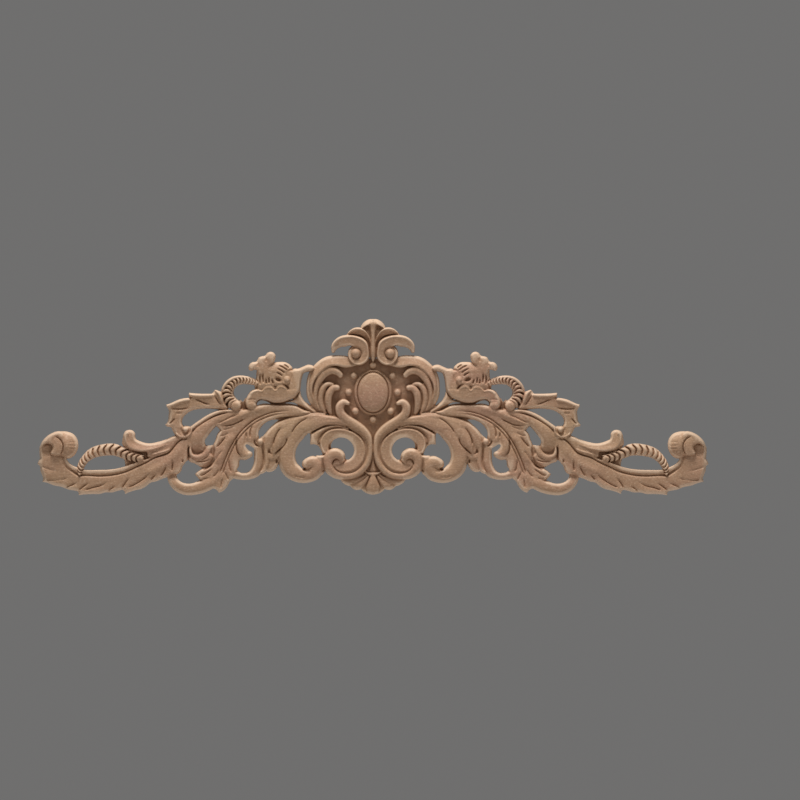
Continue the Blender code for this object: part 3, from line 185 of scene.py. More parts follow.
def band(points, crest, section=crown, edge=BAND_EDGE, soft=0.25):
    """A stroke along points (x, z, half width), as high as crest, one value or one for each point."""
    rows = np.array(points, float)
    path = trace(np.column_stack([rows, np.broadcast_to(crest, len(rows))]))
    path[:, 2] = np.maximum(path[:, 2], NARROWEST)
    here, x, z = window(path, path[:, 2].max() + SKIRT_REACH)
    far, side, at, _ = offsets(path, x, z)
    half_width = at[..., 2]
    top = edge + (at[..., 3] - edge) * section(np.clip(far / half_width, 0, 1) * side)
    lay(here, top, far - half_width, edge, soft)


def away_from(outline, reach):
    """The distance to a closed outline, below zero inside it."""
    path = ring(outline)
    here, x, z = window(path, reach)
    far = offsets(path, x, z)[0]
    return here, np.where(is_inside(path, x, z), -far, far)


def panel(outline, level, edge=BAND_EDGE, bevel=1.0, soft=0.2):
    """A body with a drawn outline, its edge a quarter round of the width bevel."""
    here, away = away_from(outline, SKIRT_REACH)
    inward = np.clip(-away / bevel, 0, 1)
    top = edge + (level - edge) * np.sqrt(np.clip(1 - (1 - inward) ** 2, 0, 1))
    lay(here, top, away, edge, soft)


def ground(outline, level, bevel=1.0):
    """A body that stands on the board's own side wall."""
    panel(outline, level, SIDE_WALL, bevel)


def ease(t):
    t = np.clip(t, 0, 1)
    return t * t * (3 - 2 * t)


def crease(points, depth=1.6, wide=1.0, lean=0.0, fade=(0.25, 0.25)):
    """A cut that fades at its ends. Its left side is the gentle one where lean is above 0, else its right."""
    path = trace(points)
    here, x, z = window(path, wide * (1 + abs(lean)) + 0.2)
    far, side, _, along = offsets(path, x, z)
    reach = np.where(side > 0, wide * (1 + lean), wide * (1 - lean))
    power = np.where(reach > wide, GENTLE_SIDE, STEEP_SIDE)
    form = np.clip(1 - far / np.maximum(reach, NARROWEST_CUT), 0, 1) ** power
    for share, part in zip(fade, (along, 1 - along)):
        if share:
            form = form * ease(part / share)
    cut(here, depth * form)


ground([(0, 72), (12, 70), (20, 70.5), (29, 66), (34, 60), (33, 50), (29, 45), (24, 43), (20, 42), (14, 40),
    (6, 34), (-1, 26), (-6, 40), (-6, 60)], 4.4, bevel=0.4)
ground([(23.6, 45.4), (30.6, 47.6), (32.6, 56), (31.6, 62), (30, 65), (28, 62), (25, 57.4)], 6.2, bevel=0.4)
band([(9.4, 69.6, 1.2), (14, 70.4, 3.1), (19, 71.1, 2.9), (24, 70.4, 2.9), (28.5, 67.3, 2.8),
    (31.9, 62.8, 2.4), (33.3, 58, 1.8), (33.1, 53, 1.7), (31.3, 48.8, 1.6), (28.6, 45.4, 0.9)],
    (7.4, 8.2, 8.8, 9, 9, 8.8, 8.6, 8, 7.5, 7), slope_left)
crease([(29, 68.6), (31.6, 66.2), (33.2, 62), (33.9, 57), (33.5, 52)], 0.7, 0.7, 0.5)
band([(17.2, 63.7, 1.6), (18.8, 65.2, 1.9), (22, 66.1, 2.2), (25.6, 64.5, 2.4), (28.2, 61, 2.1),
    (29.8, 57, 1.6), (30.4, 52.5, 1.3), (29.6, 48, 1), (27.3, 44.6, 0.6)],
    (7.4, 7.8, 8, 8, 7.9, 7.8, 7.5, 7, 6))
band([(21.4, 58.6, 1), (23.8, 58.8, 1.4), (26.2, 56.9, 1.7), (27.5, 53, 1.7), (27.6, 49.5, 1.6),
    (26.6, 46.3, 1.3), (25, 43.6, 0.8)], (6.8, 7.4, 7.6, 7.6, 7.3, 7, 6))
band([(18.9, 57, 1.6), (21.2, 56.6, 1.9), (23, 54, 2.1), (23.7, 50.5, 2.1), (23.4, 47, 1.8),
    (22.2, 43.2, 1)], (7.4, 7.8, 8, 7.8, 7.2, 6))
crease([(24.9, 55.5), (25.7, 51.5), (25.4, 47.5), (24, 44)], 0.5, 0.5)

# The small fluted shell at the foot, under the point of the heart. Its flutes are rounded strokes of the same
# wood, carved side by side and fanned out from a small bud.
TIP = 1


def pillow(u):
    return np.sqrt(np.clip(1 - np.abs(u) ** 3, 0, 1))


panel([(0, 21), (2.3, 15.5), (6, 12.5), (12, 10), (18, 9.6), (17.2, 8.6), (15.6, 6.7), (12, 5.2, TIP),
    (10.2, 3.6), (6.1, 3.6, TIP), (5.2, 2.6), (3, 1.3), (0, 0.8), (-6, 3), (-6, 12)], 4.8, bevel=0.5)
band([(0, 21, 0.4), (0, 16, 1.3), (0, 13.6, 2.3)], 5.8, pillow)
band([(-2.2, 11.8, 0.8), (0, 11.4, 0.9), (2.2, 11.8, 0.8), (4, 12.8, 0.4)], 6.4, pillow)
crease([(-2.6, 13.2), (-1, 12.8), (1, 12.8), (2.6, 13.2)], 0.6, 0.4)
band([(0, 10.2, 1.6), (0, 7, 3), (0, 4.6, 3.9)], (6.6, 7, 6.8), crown)
band([(2.6, 10.2, 0.7), (4.9, 7.3, 1.5), (7.4, 5.6, 1.9), (9.2, 5.2, 1.7)], (6.2, 6.4, 6.4, 6))
band([(3.6, 11, 0.6), (7.2, 8.7, 1.2), (11.5, 7.4, 1.5), (15.2, 7.9, 1.2)], (6, 6.2, 6.2, 5.8))
band([(5, 11.9, 0.5), (9, 9.9, 0.9), (14, 9.2, 0.8), (18, 9.8, 0.4)], 5.8)


# The long S scroll that bounds the heart-shaped field, and the C scroll that lies in its curl. Both are
# round-backed strands of the same wood, and the opening inside the curl is sawn through.
OPENING_REACH = 3.0


def rim_left(u):
    """Nearly flat, with a thin rim along the left edge."""
    face = 0.80 + 0.05 * (u + 1) + 0.10 * np.clip((u - 0.35) / 0.35, 0, 1) ** 2
    return face * np.sqrt(np.clip(1 - np.abs(u) ** 7, 0, 1))


def rim_right(u):
    return rim_left(-u)


def oval(cx, cz, rx, rz, turn, reach):
    """How far out each place lies from an oval's middle: 1 on its edge."""
    here, x, z = window(np.array([[cx, cz]]), max(rx, rz) + reach)
    c, s = math.cos(math.radians(turn)), math.sin(math.radians(turn))
    u = ((x - cx) * c + (z - cz) * s) / rx
    v = ((z - cz) * c - (x - cx) * s) / rz
    return here, np.hypot(u, v)


def hollow(cx, cz, rx, rz, depth, turn=0.0):
    """A round-bottomed oval dip."""
    here, out = oval(cx, cz, rx, rz, turn, 0.5)
    cut(here, depth * np.clip(1 - out**2, 0, 1))


def hole(outline):
    """An opening sawn through; a form that is laid later closes it again."""
    here, away = away_from(outline, OPENING_REACH)
    outside[here] = np.maximum(outside[here], -away)


ground([(0, 34), (8, 38), (17, 42), (20, 38), (27, 35), (29, 29), (27.3, 25), (26, 21), (26.3, 15),
    (23.5, 12), (19, 9.7), (13, 9.3), (6, 12), (0, 20), (-4, 27)], 4.4, bevel=0.5)
band([(17, 40.6, 1), (11, 35.4, 1), (6.3, 32.2, 1), (3.9, 28.6, 1), (3.3, 24, 1), (4.3, 19, 1),
    (7, 15.2, 1), (11, 12.8, 1), (15.5, 12.2, 1), (19.6, 13.7, 1), (21.4, 16.6, 1)], 6.5)
panel([(14.6, 18.9), (15.8, 20.8), (18, 21.2), (21, 20.2), (22.2, 17), (20.6, 15), (18, 16.2), (16, 17)],
    7.7)
band([(13.2, 48.7, 1.1), (15.3, 49.2, 1.9), (17.3, 47.3, 2.4), (17.2, 44, 2.6), (14.4, 40.6, 2.6),
    (9.6, 37.6, 2.5), (5.3, 34.4, 2.4), (2.7, 31.2, 2.1), (1.6, 27, 1.65), (1.6, 22, 1.6), (3.2, 17, 1.75),
    (6.4, 13.1, 1.8), (9.6, 11.1, 1.8), (15, 10.3, 1.8), (19.6, 11.4, 2.2), (22.6, 14, 2.7),
    (23.6, 17.5, 3), (22.6, 20.7, 3.3), (19.8, 21.9, 3.3), (17.6, 20.9, 3)],
    (8, 8.2, 8.4, 8.4, 8.2, 8, 8, 8, 7.8, 7.8, 7.8, 7.8, 7.8, 8, 8.2, 8.6, 8.8, 9, 9, 8.6))
band([(25, 24, 2), (25.4, 28, 2.8), (23.4, 31.1, 3.1), (20, 32.6, 3), (15.5, 32.4, 3), (11, 30.5, 3.2),
    (7.9, 27.4, 3.4), (6.9, 23.5, 3.5), (8, 19.7, 3.5), (10.6, 16.9, 3.5), (13.9, 15.4, 3), (17, 14.9, 2.3),
    (19.4, 15.9, 1.4), (20.3, 17.5, 0.9), (19.6, 18.8, 0.6), (18.5, 18.7, 0.4)],
    (7.6,) * 12 + (7.8, 8, 8, 7.6), rim_right)
hollow(17, 17.7, 1, 0.7, 0.6, 20)
crease([(21.4, 15.6), (21.3, 17.4), (20.4, 18.9), (19.1, 19.5), (17.8, 18.8), (17.3, 17.6)], 1.3, 0.5)
hole([(10, 25), (11.6, 28.4), (14.5, 30.4), (18, 30.7), (20.8, 29.3), (22.1, 26.8), (22, 25.2, TIP),
    (19.5, 25.3), (16.6, 24.3), (14.8, 22), (14.6, 19.6, TIP), (13.4, 19), (11.2, 20.4), (10, 23)])

# The leaf that rolls down beside the heart: two petals, the rolled stem and two outer lobes. It is one thick
# form of the same wood with its veins cut in, and the space inside its curl is sawn through.
ground([(16, 35.6), (20, 42), (26, 43), (34, 43.8), (42, 41.5), (50, 38), (56, 31), (57, 24), (55, 20),
    (50, 22), (46, 30), (40, 33.5), (35, 34), (33, 32.5, TIP), (33.1, 27, TIP), (29.4, 26.7), (27, 23.5),
    (26.4, 20), (26.6, 13), (31, 16), (36, 15.5), (30, 9.5), (26.2, 11.6), (25.2, 20), (28, 31), (24, 34.2),
    (19, 35.6)], 5.6, bevel=0.8)
band([(18, 40.4, 0.8), (25, 40.5, 1.8), (32, 38.3, 3), (38, 34.6, 3.9), (42.6, 29.5, 4.6), (45, 24, 4.7),
    (45.3, 19, 4.6), (43.6, 14.4, 4.6), (39.4, 11.5, 4.3), (34.6, 10.9, 3.9), (30.8, 12.8, 4),
    (29.9, 16, 3.6), (31.8, 17.5, 3.7), (34.2, 16.8, 3.2)],
    (6.4, 7.2, 7.6, 7.9, 8, 8, 8, 8, 8.2, 8.5, 8.7, 8.9, 9, 8.8), soft=1.0)
panel([(12.8, 36.4), (17.4, 41.4), (21, 42.2), (26, 43), (34, 43.2), (42, 40.8), (48, 37.4), (45, 31),
    (38, 34.6), (33.4, 33.2), (28, 36), (22, 37.6), (16, 37.4)], 7.6, bevel=1.4, soft=1.2)
panel([(26.2, 13.8), (25.6, 17), (25.4, 21.8), (27.4, 21.6), (29.4, 21.6), (31, 17), (30, 13)], 8,
    bevel=1.6, soft=1.0)
band([(26.5, 19.4, 1), (26.7, 16, 1), (26.5, 14.2, 0.8)], 7.2)
band([(13.6, 35.4, 1), (18, 35.9, 1), (22, 35.4, 1), (25.5, 33.6, 1), (27.8, 31, 1), (28.3, 28.6, 0.8)],
    6.5)
panel([(14, 35.9), (20, 36.1), (25, 34.7), (27.9, 31.8), (28.8, 28.8), (28.9, 26.7, TIP), (33.2, 27, TIP),
    (32.9, 30), (32.8, 32.4, TIP), (30, 34.4), (26, 36.2), (22, 37.2), (17.5, 37.2)], 7.6, edge=5.6,
    bevel=1.6)
band([(14.5, 36.8, 0.3), (20, 38.5, 1), (25, 38.3, 1.3), (30, 36.2, 1.3), (33.8, 33.6, 0.6)],
    (6.8, 7.6, 7.9, 7.7, 7.2), rim_left, edge=6, soft=0.6)
crease([(13.4, 35.6), (18, 35.9), (22, 35.4), (25.5, 33.6), (27.8, 31), (28.5, 28.6)], 0.9, 0.6)
crease([(22, 37.6), (26.5, 36.5), (30, 34.6), (32.6, 32.8)], 1.3, 0.6, 0.2)
crease([(26.7, 20.8), (26.5, 18), (26.8, 15), (26.2, 12.8)], 0.6, 0.9)
hollow(36.2, 14.1, 1.3, 0.9, 1.8, -40)
crease([(38.2, 15.6), (36.6, 14), (34.4, 13.1), (32.4, 13.6)], 0.7, 1.1, 0.3)
crease([(42, 11), (38.5, 9.9), (35, 10)], 0.5, 0.9)
band([(26, 42.7, 1.2), (32, 42.4, 1.6), (38, 40.6, 2.3), (44.2, 38.4, 3), (50.3, 34.7, 3.6),
    (54.3, 30, 3.4), (55.6, 25.5, 2.2), (56, 21.5, 0.8)], (6.6, 7.2, 7.4, 7.6, 7.8, 7.8, 7.4, 6.8),
    soft=0.8)
band([(33, 40.2, 1.6), (38, 38.6, 2.2), (43.4, 35.6, 3), (48, 31, 3.4), (50.6, 26.8, 2.8),
    (52.3, 22.3, 0.7)], (6.8, 7.6, 8, 8.3, 8.2, 7.4), soft=0.8)
panel([(49.4, 23), (50.1, 16), (52.4, 13.2), (55, 12.6), (57.5, 14), (57.5, 18), (56.5, 25)], 6.2,
    bevel=1.2)
panel([(47, 27), (57, 28), (58, 24), (57, 20), (50, 19.6), (48, 23)], 6.9)
hollow(50.7, 18.2, 0.6, 1.3, 1.6)
crease([(45.3, 31), (45.6, 28.5), (47.6, 25.6), (50, 23.6), (52, 22)], 1.4, 0.6, 0.3, (0.1, 0.1))
crease([(54.6, 25.6), (54.5, 23.4), (53, 21.6)], 1.2, 0.6)
crease([(34.2, 41.1), (37.5, 39.4), (40.6, 36.6), (43, 32.6)], 1.2, 0.7, 0.4, (0.15, 0.15))
crease([(48.3, 36.1), (50.5, 33), (51.8, 30), (52.3, 26.6)], 1.2, 0.7, 0.4, (0.15, 0.15))
hole([(33, 32.6, TIP), (36.4, 30.3), (39.3, 27), (40.9, 22.5), (40.5, 18.5), (38.6, 16.1, TIP), (37.3, 18),
    (35.7, 19.5), (33.8, 20.5), (31.6, 21.2), (29.4, 21.3), (27.6, 21.3), (26.5, 22.3, TIP), (27.8, 24.4),
    (29.2, 26.6), (33, 27, TIP)])


# The three-leaved palmette at the top, between two scrolls that each end in a bead. The leaves are the same
# wood, hollowed with a gouge, and the middle one is the highest, with a small rolled cap.
def both_sides(outline):
    """A closed outline out of its right half, which starts and ends on the centre line."""
    return outline + [(-point[0], *point[1:]) for point in reversed(outline) if point[0] > 0]


def flat(u):
    return np.sqrt(np.clip(1 - np.abs(u) ** 8, 0, 1))


def roll(u):
    return np.sqrt(np.clip(1 - u * u, 0, 1))


def lip_left(u):
    """A high round rim along the left edge; the face dips away to the right."""
    face = np.where(u > 0.62, 1.0, 0.58 + 0.42 * np.clip((u + 1) / 1.62, 0, 1) ** 3)
    left = np.sqrt(np.clip(1 - np.clip((u - 0.62) / 0.38, 0, 1) ** 2, 0, 1))
    right = np.sqrt(np.clip(1 - np.clip((-u - 0.6) / 0.4, 0, 1) ** 3, 0, 1))
    return face * left * right


def dome(cx, cz, rx, rz, crest, edge=BAND_EDGE, section=roll, turn=0.0, soft=0.2):
    """A round or oval boss."""
    here, out = oval(cx, cz, rx, rz, turn, SKIRT_REACH)
    top = edge + (crest - edge) * section(np.clip(out, 0, 1))
    lay(here, top, (out - 1) * min(rx, rz), edge, soft)


ground(both_sides([(0, 93.1), (2.4, 92.9), (4.3, 91.8), (5.6, 90.2), (6.5, 88.2, TIP), (4.6, 86.8),
    (2.6, 84.4), (1.8, 81), (1.8, 73), (0, 71.4)]), 6.8, bevel=0.5)
ground([(1, 74), (1.2, 80), (2.8, 85), (6, 88), (9.5, 88.2), (12.5, 86.6), (14, 84.6), (10, 80), (5, 74)],
    5)
dome(9, 75.1, 4.2, 4.4, 7.3, edge=SIDE_WALL, section=flat)
hollow(3.6, 88.6, 2.2, 1.7, 1.2, 20)
band([(-1.6, 91.6, 1.5), (0, 91.6, 1.5), (2.6, 91.25, 1.4), (4.5, 90.1, 1.15), (5.8, 88.8, 0.7)],
    (9.6, 9.6, 9.6, 9.2, 8.4), slope_left)
band([(0, 71.2, 0.7), (0, 73.5, 1.5), (0, 80, 1.5), (0, 86, 1.5), (0, 88.8, 2), (0, 90.4, 2.6)],
    (7.4, 8.4, 8.8, 9, 9.1, 9.3), pillow, soft=0.6)
band([(2, 78, 0.9), (3.2, 83.6, 1.5), (5.9, 86.2, 2), (9.2, 86.7, 1.9), (12.2, 85.8, 0.9)],
    (7, 8, 8.4, 8.6, 7.8), lip_left)
band([(20.9, 76.3, 1), (20, 78.8, 2), (17.4, 80.9, 2.7), (13.5, 81.6, 3.2), (9, 81, 3.4), (5.8, 79.4, 3.2),
    (4.5, 76.5, 2.6), (4.6, 73, 2.6), (6.7, 70.9, 2.1), (9.6, 70.9, 1.7), (11.5, 72.3, 1.2),
    (12.3, 74.5, 1), (11.9, 76.6, 0.7)], (7.8, 8.4, 9, 9.2, 9.4, 9.4, 9.2, 9, 8.8, 8.6, 8.5, 8.4, 8.2),
    rim_right)
dome(9, 75.1, 2.8, 2.8, 9.4, edge=6.5)
crease([(11.4, 77), (9, 78.4), (6.6, 77), (6, 74.6), (7.2, 72.7), (9.4, 72), (11.3, 73.4)], 0.7, 0.6,
    fade=(0.2, 0.1))


# The plain oval boss in its ring, with eight round pearls about it, all standing in the sunk field and of the
# same wood. One tree sets a pearl on each marked place, and the pearls are pressed into the field of heights.
CABOCHON_HEIGHT = 54.5
PEARL = 1.9
PEARL_HEIGHT = 4.6


def new_tree(name, settings):
    """An empty node tree for shapes, with its named inputs."""
    tree = bpy.data.node_groups.new(name, "GeometryNodeTree")
    tree.interface.new_socket("Geometry", in_out="INPUT", socket_type="NodeSocketGeometry")
    for setting, kind in settings:
        tree.interface.new_socket(setting, in_out="INPUT", socket_type="NodeSocket" + kind)
    tree.interface.new_socket("Geometry", in_out="OUTPUT", socket_type="NodeSocketGeometry")
    return tree, tree.nodes.new("NodeGroupInput").outputs


def add_node(tree, kind, inputs, **settings):
    """A node with its inputs set: each is another node's output or a plain value."""
    node = tree.nodes.new(kind)
    for setting, value in settings.items():
        setattr(node, setting, value)
    for name, value in inputs.items():
        if isinstance(value, bpy.types.NodeSocket):
            tree.links.new(value, node.inputs[name])
        else:
            node.inputs[name].default_value = value
    return node


def finish_tree(tree, instances, wood):
    """Makes the copies real, gives them their wood and sends them out."""
    real = add_node(tree, "GeometryNodeRealizeInstances", {"Geometry": instances})
    painted = add_node(tree, "GeometryNodeSetMaterial", {"Geometry": real.outputs[0], "Material": wood})
    tree.links.new(painted.outputs[0], tree.nodes.new("NodeGroupOutput").inputs[0])


def evaluated(holder):
    """The plain mesh that an object's modifier makes."""
    return bpy.data.meshes.new_from_object(holder.evaluated_get(bpy.context.evaluated_depsgraph_get()))


def placed(name, data):
    """A new object in the scene."""
    made = bpy.data.objects.new(name, data)
    bpy.context.scene.collection.objects.link(made)
    return made


def grown(data, tree, settings):
    """The mesh that a tree makes of its data, with the tree's inputs set by their sockets' identifiers."""
    holder = placed(tree.name, data)
    modifier = holder.modifiers.new(tree.name, "NODES")
    modifier.node_group = tree
    for socket in tree.interface.items_tree:
        if socket.name in settings:
            modifier[socket.identifier] = settings[socket.name]
    mesh = evaluated(holder)
    bpy.data.objects.remove(holder)
    return mesh


def places_of(mesh):
    """A mesh's points as rows of x, y and z."""
    places = np.empty(len(mesh.vertices) * 3)
    mesh.vertices.foreach_get("co", places)
    return places.reshape(-1, 3)


def press(mesh):
    """Presses a shape, drawn above the board in the drawing's unit, into the field of heights."""
    places = places_of(mesh)
    surface = BVHTree.FromPolygons(places.tolist(), [tuple(face.vertices) for face in mesh.polygons])
    here, x, z = window(places[:, [0, 2]], 0.3)
    top = np.zeros(x.shape)
    for place in np.ndindex(x.shape):
        hit = surface.ray_cast(Vector((x[place], -50.0, z[place])), Vector((0.0, 1.0, 0.0)))[0]
        if hit:
            top[place] = -hit.y
    height[here] = np.maximum(height[here], top)


raw_wood = bpy.data.materials.new("raw_wood")
pearl_tree, given = new_tree("pearls", (("Radius", "Float"), ("Fullness", "Float"), ("Wood", "Material")))
ball = add_node(pearl_tree, "GeometryNodeMeshIcoSphere", {"Radius": given["Radius"], "Subdivisions": 4})
flattened = add_node(pearl_tree, "ShaderNodeCombineXYZ", {"X": 1.0, "Y": given["Fullness"], "Z": 1.0})
pearls = add_node(pearl_tree, "GeometryNodeInstanceOnPoints", {
    "Points": given["Geometry"], "Instance": ball.outputs["Mesh"], "Scale": flattened.outputs[0]})
finish_tree(pearl_tree, pearls.outputs[0], given["Wood"])

dome(0, CABOCHON_HEIGHT, 10.3, 12.3, 7.4, edge=SIDE_WALL, section=crown)
dome(0, CABOCHON_HEIGHT, 8.2, 10.5, 8.4, edge=6.4)
groove = [math.radians(turn) for turn in range(0, 181, 15)]
groove = [(8.3 * math.sin(turn), CABOCHON_HEIGHT + 10.6 * math.cos(turn)) for turn in groove]
crease(groove, 1.5, 0.6, fade=(0, 0))
pearl_seats = []
for turn in (90, 38, 0, -44, -90):
    x = 12.9 * math.cos(math.radians(turn))
    z = CABOCHON_HEIGHT + 14.35 * math.sin(math.radians(turn))
    dome(x, z, PEARL, PEARL, 5.2, edge=SIDE_WALL)
    pearl_seats.append((x, -PEARL_HEIGHT, z))
seats = bpy.data.meshes.new("pearl seats")
seats.from_pydata(pearl_seats, [], [])
press(grown(seats, pearl_tree, {"Radius": PEARL, "Fullness": 1.0, "Wood": raw_wood}))

# The two stems that drop between the leaf scroll and the main leaf, and swing out into the lower scroll.
# They are round strands of the same wood, with a narrow cut between them.
ground([(50, 24), (54, 20), (56, 13), (58, 12.3), (61, 10), (65, 8.7), (70, 8.6), (74, 9.8), (75, 12),
    (71.5, 13.5), (67, 12.2), (64, 14), (62.7, 18), (62.6, 25), (61, 28), (59, 31), (56, 33.5), (52, 34)],
    6.2, bevel=0.8)
band([(57, 28, 0.9), (56.3, 24, 1.3), (56, 20, 1.5), (56.2, 16.5, 1.6), (57.4, 13.8, 1.4), (58.8, 12.6, 1)],
    7.2, pillow)
band([(60.4, 27, 2.1), (60.2, 22, 2.3), (60.2, 18, 2.4), (61.2, 14.5, 2.4), (63.6, 11.5, 2.1),
    (67, 10.4, 1.8), (71, 10.9, 1.9), (75, 12.5, 1.4)], 7.6)
crease([(58, 26), (57.9, 22), (57.6, 17.5)], 0.6, 0.5)
hollow(54.9, 23.3, 0.7, 1.2, 1)


# The long leaf that runs out and down from the shield, with a raised rib and lobes on both sides. Its veins
# are cut into the same wood with a parting tool, and the gaps beside its lobes are sawn through.
def ridge(points, rise, wide, fade=0.2):
    """A soft raised line on what is there."""
    path = trace(points)
    here, x, z = window(path, wide + 0.2)
    far, _, _, along = offsets(path, x, z)
    ends = ease(along / fade) * ease((1 - along) / fade)
    height[here] += rise * ends * (0.5 + 0.5 * np.cos(np.pi * np.clip(far / wide, 0, 1)))


def beside(points, by):
    """The line that runs beside a stroke, to its left by that much."""
    rows = np.array(points, float)[:, :2]
    ahead = np.gradient(rows, axis=0)
    ahead /= np.hypot(*ahead.T)[:, None]
    return (rows + by * np.column_stack([-ahead[:, 1], ahead[:, 0]])).tolist()


ground([(32, 44.2), (36, 45.3), (40, 47.3), (50, 48.3), (60, 48), (66.5, 46), (72, 44.6), (80, 41),
    (84.4, 37.5, TIP), (82, 36.3), (80.5, 34.5, TIP), (82, 32.5), (83, 29.4), (84, 27), (83.8, 24, TIP),
    (84.5, 20), (86, 16), (90, 14.6), (93.9, 11.4, TIP), (91.5, 8.7), (88, 6), (84.6, 4), (83, 3.6),
    (81.2, 1.7, TIP), (79, 2.6), (77, 4.5), (75, 8), (73, 9.6), (71.5, 13), (70.5, 16), (70, 18.9),
    (67, 18.9), (64, 20), (62, 26), (60, 31), (59, 36), (56, 38.8), (52, 40.4), (42, 41.6), (36, 42.4)],
    7.6, bevel=1.2)
band([(60.5, 39.5, 1.8), (62.8, 35.5, 2.6), (64.2, 31.5, 3.2), (63, 27.6, 2.2)], (7.6, 8, 8.2, 7.8),
    soft=1.2)
band([(67.5, 35, 1.8), (69.2, 31, 2.4), (69.8, 27, 2.7), (69, 23.4, 2.6), (66.8, 21.5, 1.9),
    (65, 21.9, 1.4)], (7.6, 8.2, 8.5, 8.5, 8.4, 8.2), soft=1.2)
ridge([(54, 46.6), (60, 45.6), (68, 43), (76, 40), (83, 37.8)], 0.7, 2.6)
ridge([(73, 33), (76.5, 28), (79.5, 22), (82, 16)], 0.7, 3)
rib = [(52, 44.2), (58, 42.3), (64, 39), (69, 34.5), (73.5, 28.5), (77, 21.5), (79.5, 15), (81, 11)]
crease([(43, 44.4)] + rib, 1.3, 0.75, 0.25, (0.15, 0.06))
crease([(45, 43)] + beside(rib, -1.5), 1.1, 0.75, -0.1, (0.2, 0.06))
for line, depth, wide in (
    ([(66.5, 41.5), (71, 38.7), (76, 37), (80.2, 37.2)], 1.3, 0.8),
    ([(72, 37.3), (76, 35.4), (79.6, 34.8)], 0.6, 0.9),
    ([(75.5, 33.6), (78.6, 31.8), (80.8, 31.4)], 0.6, 0.8),
    ([(77.5, 31.4), (80, 28), (82.8, 25.3)], 1.3, 0.8),
    ([(79, 24.2), (81.6, 21), (83.2, 17.6)], 0.8, 0.9),
    ([(83.2, 21), (84.5, 17), (87, 14.8), (90.4, 13.4)], 1.8, 1.1),
    ([(80.8, 14.6), (82, 12.2), (84.6, 9.8)], 0.9, 0.8),
    ([(84.5, 14.5), (87, 12.6), (89.5, 11), (91.6, 10.6)], 1.2, 0.7),
    ([(86.5, 9.7), (88.6, 8.9), (90.5, 8.6)], 0.9, 0.6),
):
    crease(line, depth, wide, 0.4)
for line, depth, wide in (
    ([(63, 37.7), (64.7, 34), (64.5, 30)], 1.5, 0.8),
    ([(66.7, 33.6), (66.9, 32.2), (66.5, 30.8)], 1, 0.6),
    ([(71.3, 31.5), (72.1, 27), (71.3, 23), (68.8, 20.8)], 1.5, 0.8),
    ([(76, 19.5), (75.7, 15.5), (74.4, 12)], 1.2, 0.8),
    ([(78.2, 12.8), (77, 10.4), (76, 8)], 1, 0.7),
    ([(79.2, 9.4), (79.9, 6.4), (80.1, 4)], 1, 0.6),
):
    crease(line, depth, wide, -0.4)
band([(66.4, 28.2, 1.1), (64.6, 27, 1.3), (62.4, 25.6, 1.4), (60.6, 25.9, 1.1)], (7.6, 7.8, 7.8, 7.2),
    pillow)
crease([(61.6, 30.2), (62.4, 28.4), (61.4, 26.8), (59.4, 26.4)], 1.8, 0.7)
dome(59.4, 28.5, 1.7, 1.7, 8.4, edge=6.8)
dome(65.2, 22.2, 1.9, 1.7, 8.4, edge=5)
crease([(70.2, 43.6), (75, 41.4), (80, 39.1), (83.6, 38.2)], 1, 0.7)
ground([(40, 42.6), (46, 42.2), (52, 41), (53, 38.4), (50, 38.4), (46, 39.8), (41, 41.2)], 5, bevel=0.4)
hole([(49.6, 40.1, TIP), (53, 40), (56, 38.9), (59, 36), (60.3, 33.4), (60, 31.2), (58.4, 31.3), (56, 34),
    (53.4, 36.8)])
hole([(62.5, 25, TIP), (64.3, 26.1), (66.3, 27.2), (67.2, 26.8), (66.6, 25.2), (65.2, 23.8), (63.6, 22.8),
    (63.4, 21.4), (64.6, 20.2), (66.2, 19.3), (68, 18.7), (70, 18.7, TIP), (70.4, 16), (71.6, 13.7),
    (70, 12.4), (67, 12.3), (64.4, 13.9), (63, 17.5), (62.6, 21)])

# The flower bud on its twig: sepal, scalloped petal, pleated cup and small crown, all of the same wood. The
# pleats are short gouge cuts, and narrow slots are sawn through beside the sepal and along the twig.
ground([(33, 45), (38, 46), (46, 48), (56, 48), (61, 47), (67, 46), (70, 45), (72, 46.5), (71, 50),
    (67, 51.5), (60, 50.8), (52, 50), (44, 50.5), (37, 50), (33, 47)], 4.6, bevel=0.5)
ground([(24, 42), (29, 46.6), (33, 48), (36, 46), (36, 43), (30, 41.6)], 5.4)
panel([(29.6, 44.2), (33, 47), (36.4, 50.3), (37.8, 53), (38.2, 56.4, TIP), (39.5, 53.5), (42, 51),
    (45, 49.8, TIP), (42, 48.8), (38, 47.2), (33, 44.4), (30.4, 43.2)], 6.8, bevel=1.2)
panel([(43.3, 65.4), (42.4, 67.2), (43.8, 69.1), (46, 70.3), (49.5, 70.5), (53, 70.2), (56, 71), (60, 70),
    (61.2, 66), (61.6, 62), (62.4, 59.5), (62, 56), (52, 55), (44, 56.6), (43.4, 61)], 8.8, edge=5, bevel=5)
panel([(52.6, 69.4), (51.5, 72), (51.3, 74), (52.3, 75.4), (54, 75.9), (55.6, 75.3), (56.9, 73.8),
    (58.5, 73.5), (60.2, 72.8), (60.9, 71.4), (61.6, 70.6), (63.2, 70.5), (64.7, 69.6), (65.5, 68),
    (65.2, 66.4), (64, 65.8), (62.7, 66.4), (61.4, 66.4), (60.4, 64), (57, 62.5), (54.6, 65), (54, 68)],
    8.8, edge=5.4, bevel=1.3)
crease([(56.8, 73.6), (56.2, 72), (56.4, 70.4)], 0.6, 0.7)
crease([(60.8, 71), (60.5, 69.4), (61, 68)], 0.7, 0.7)
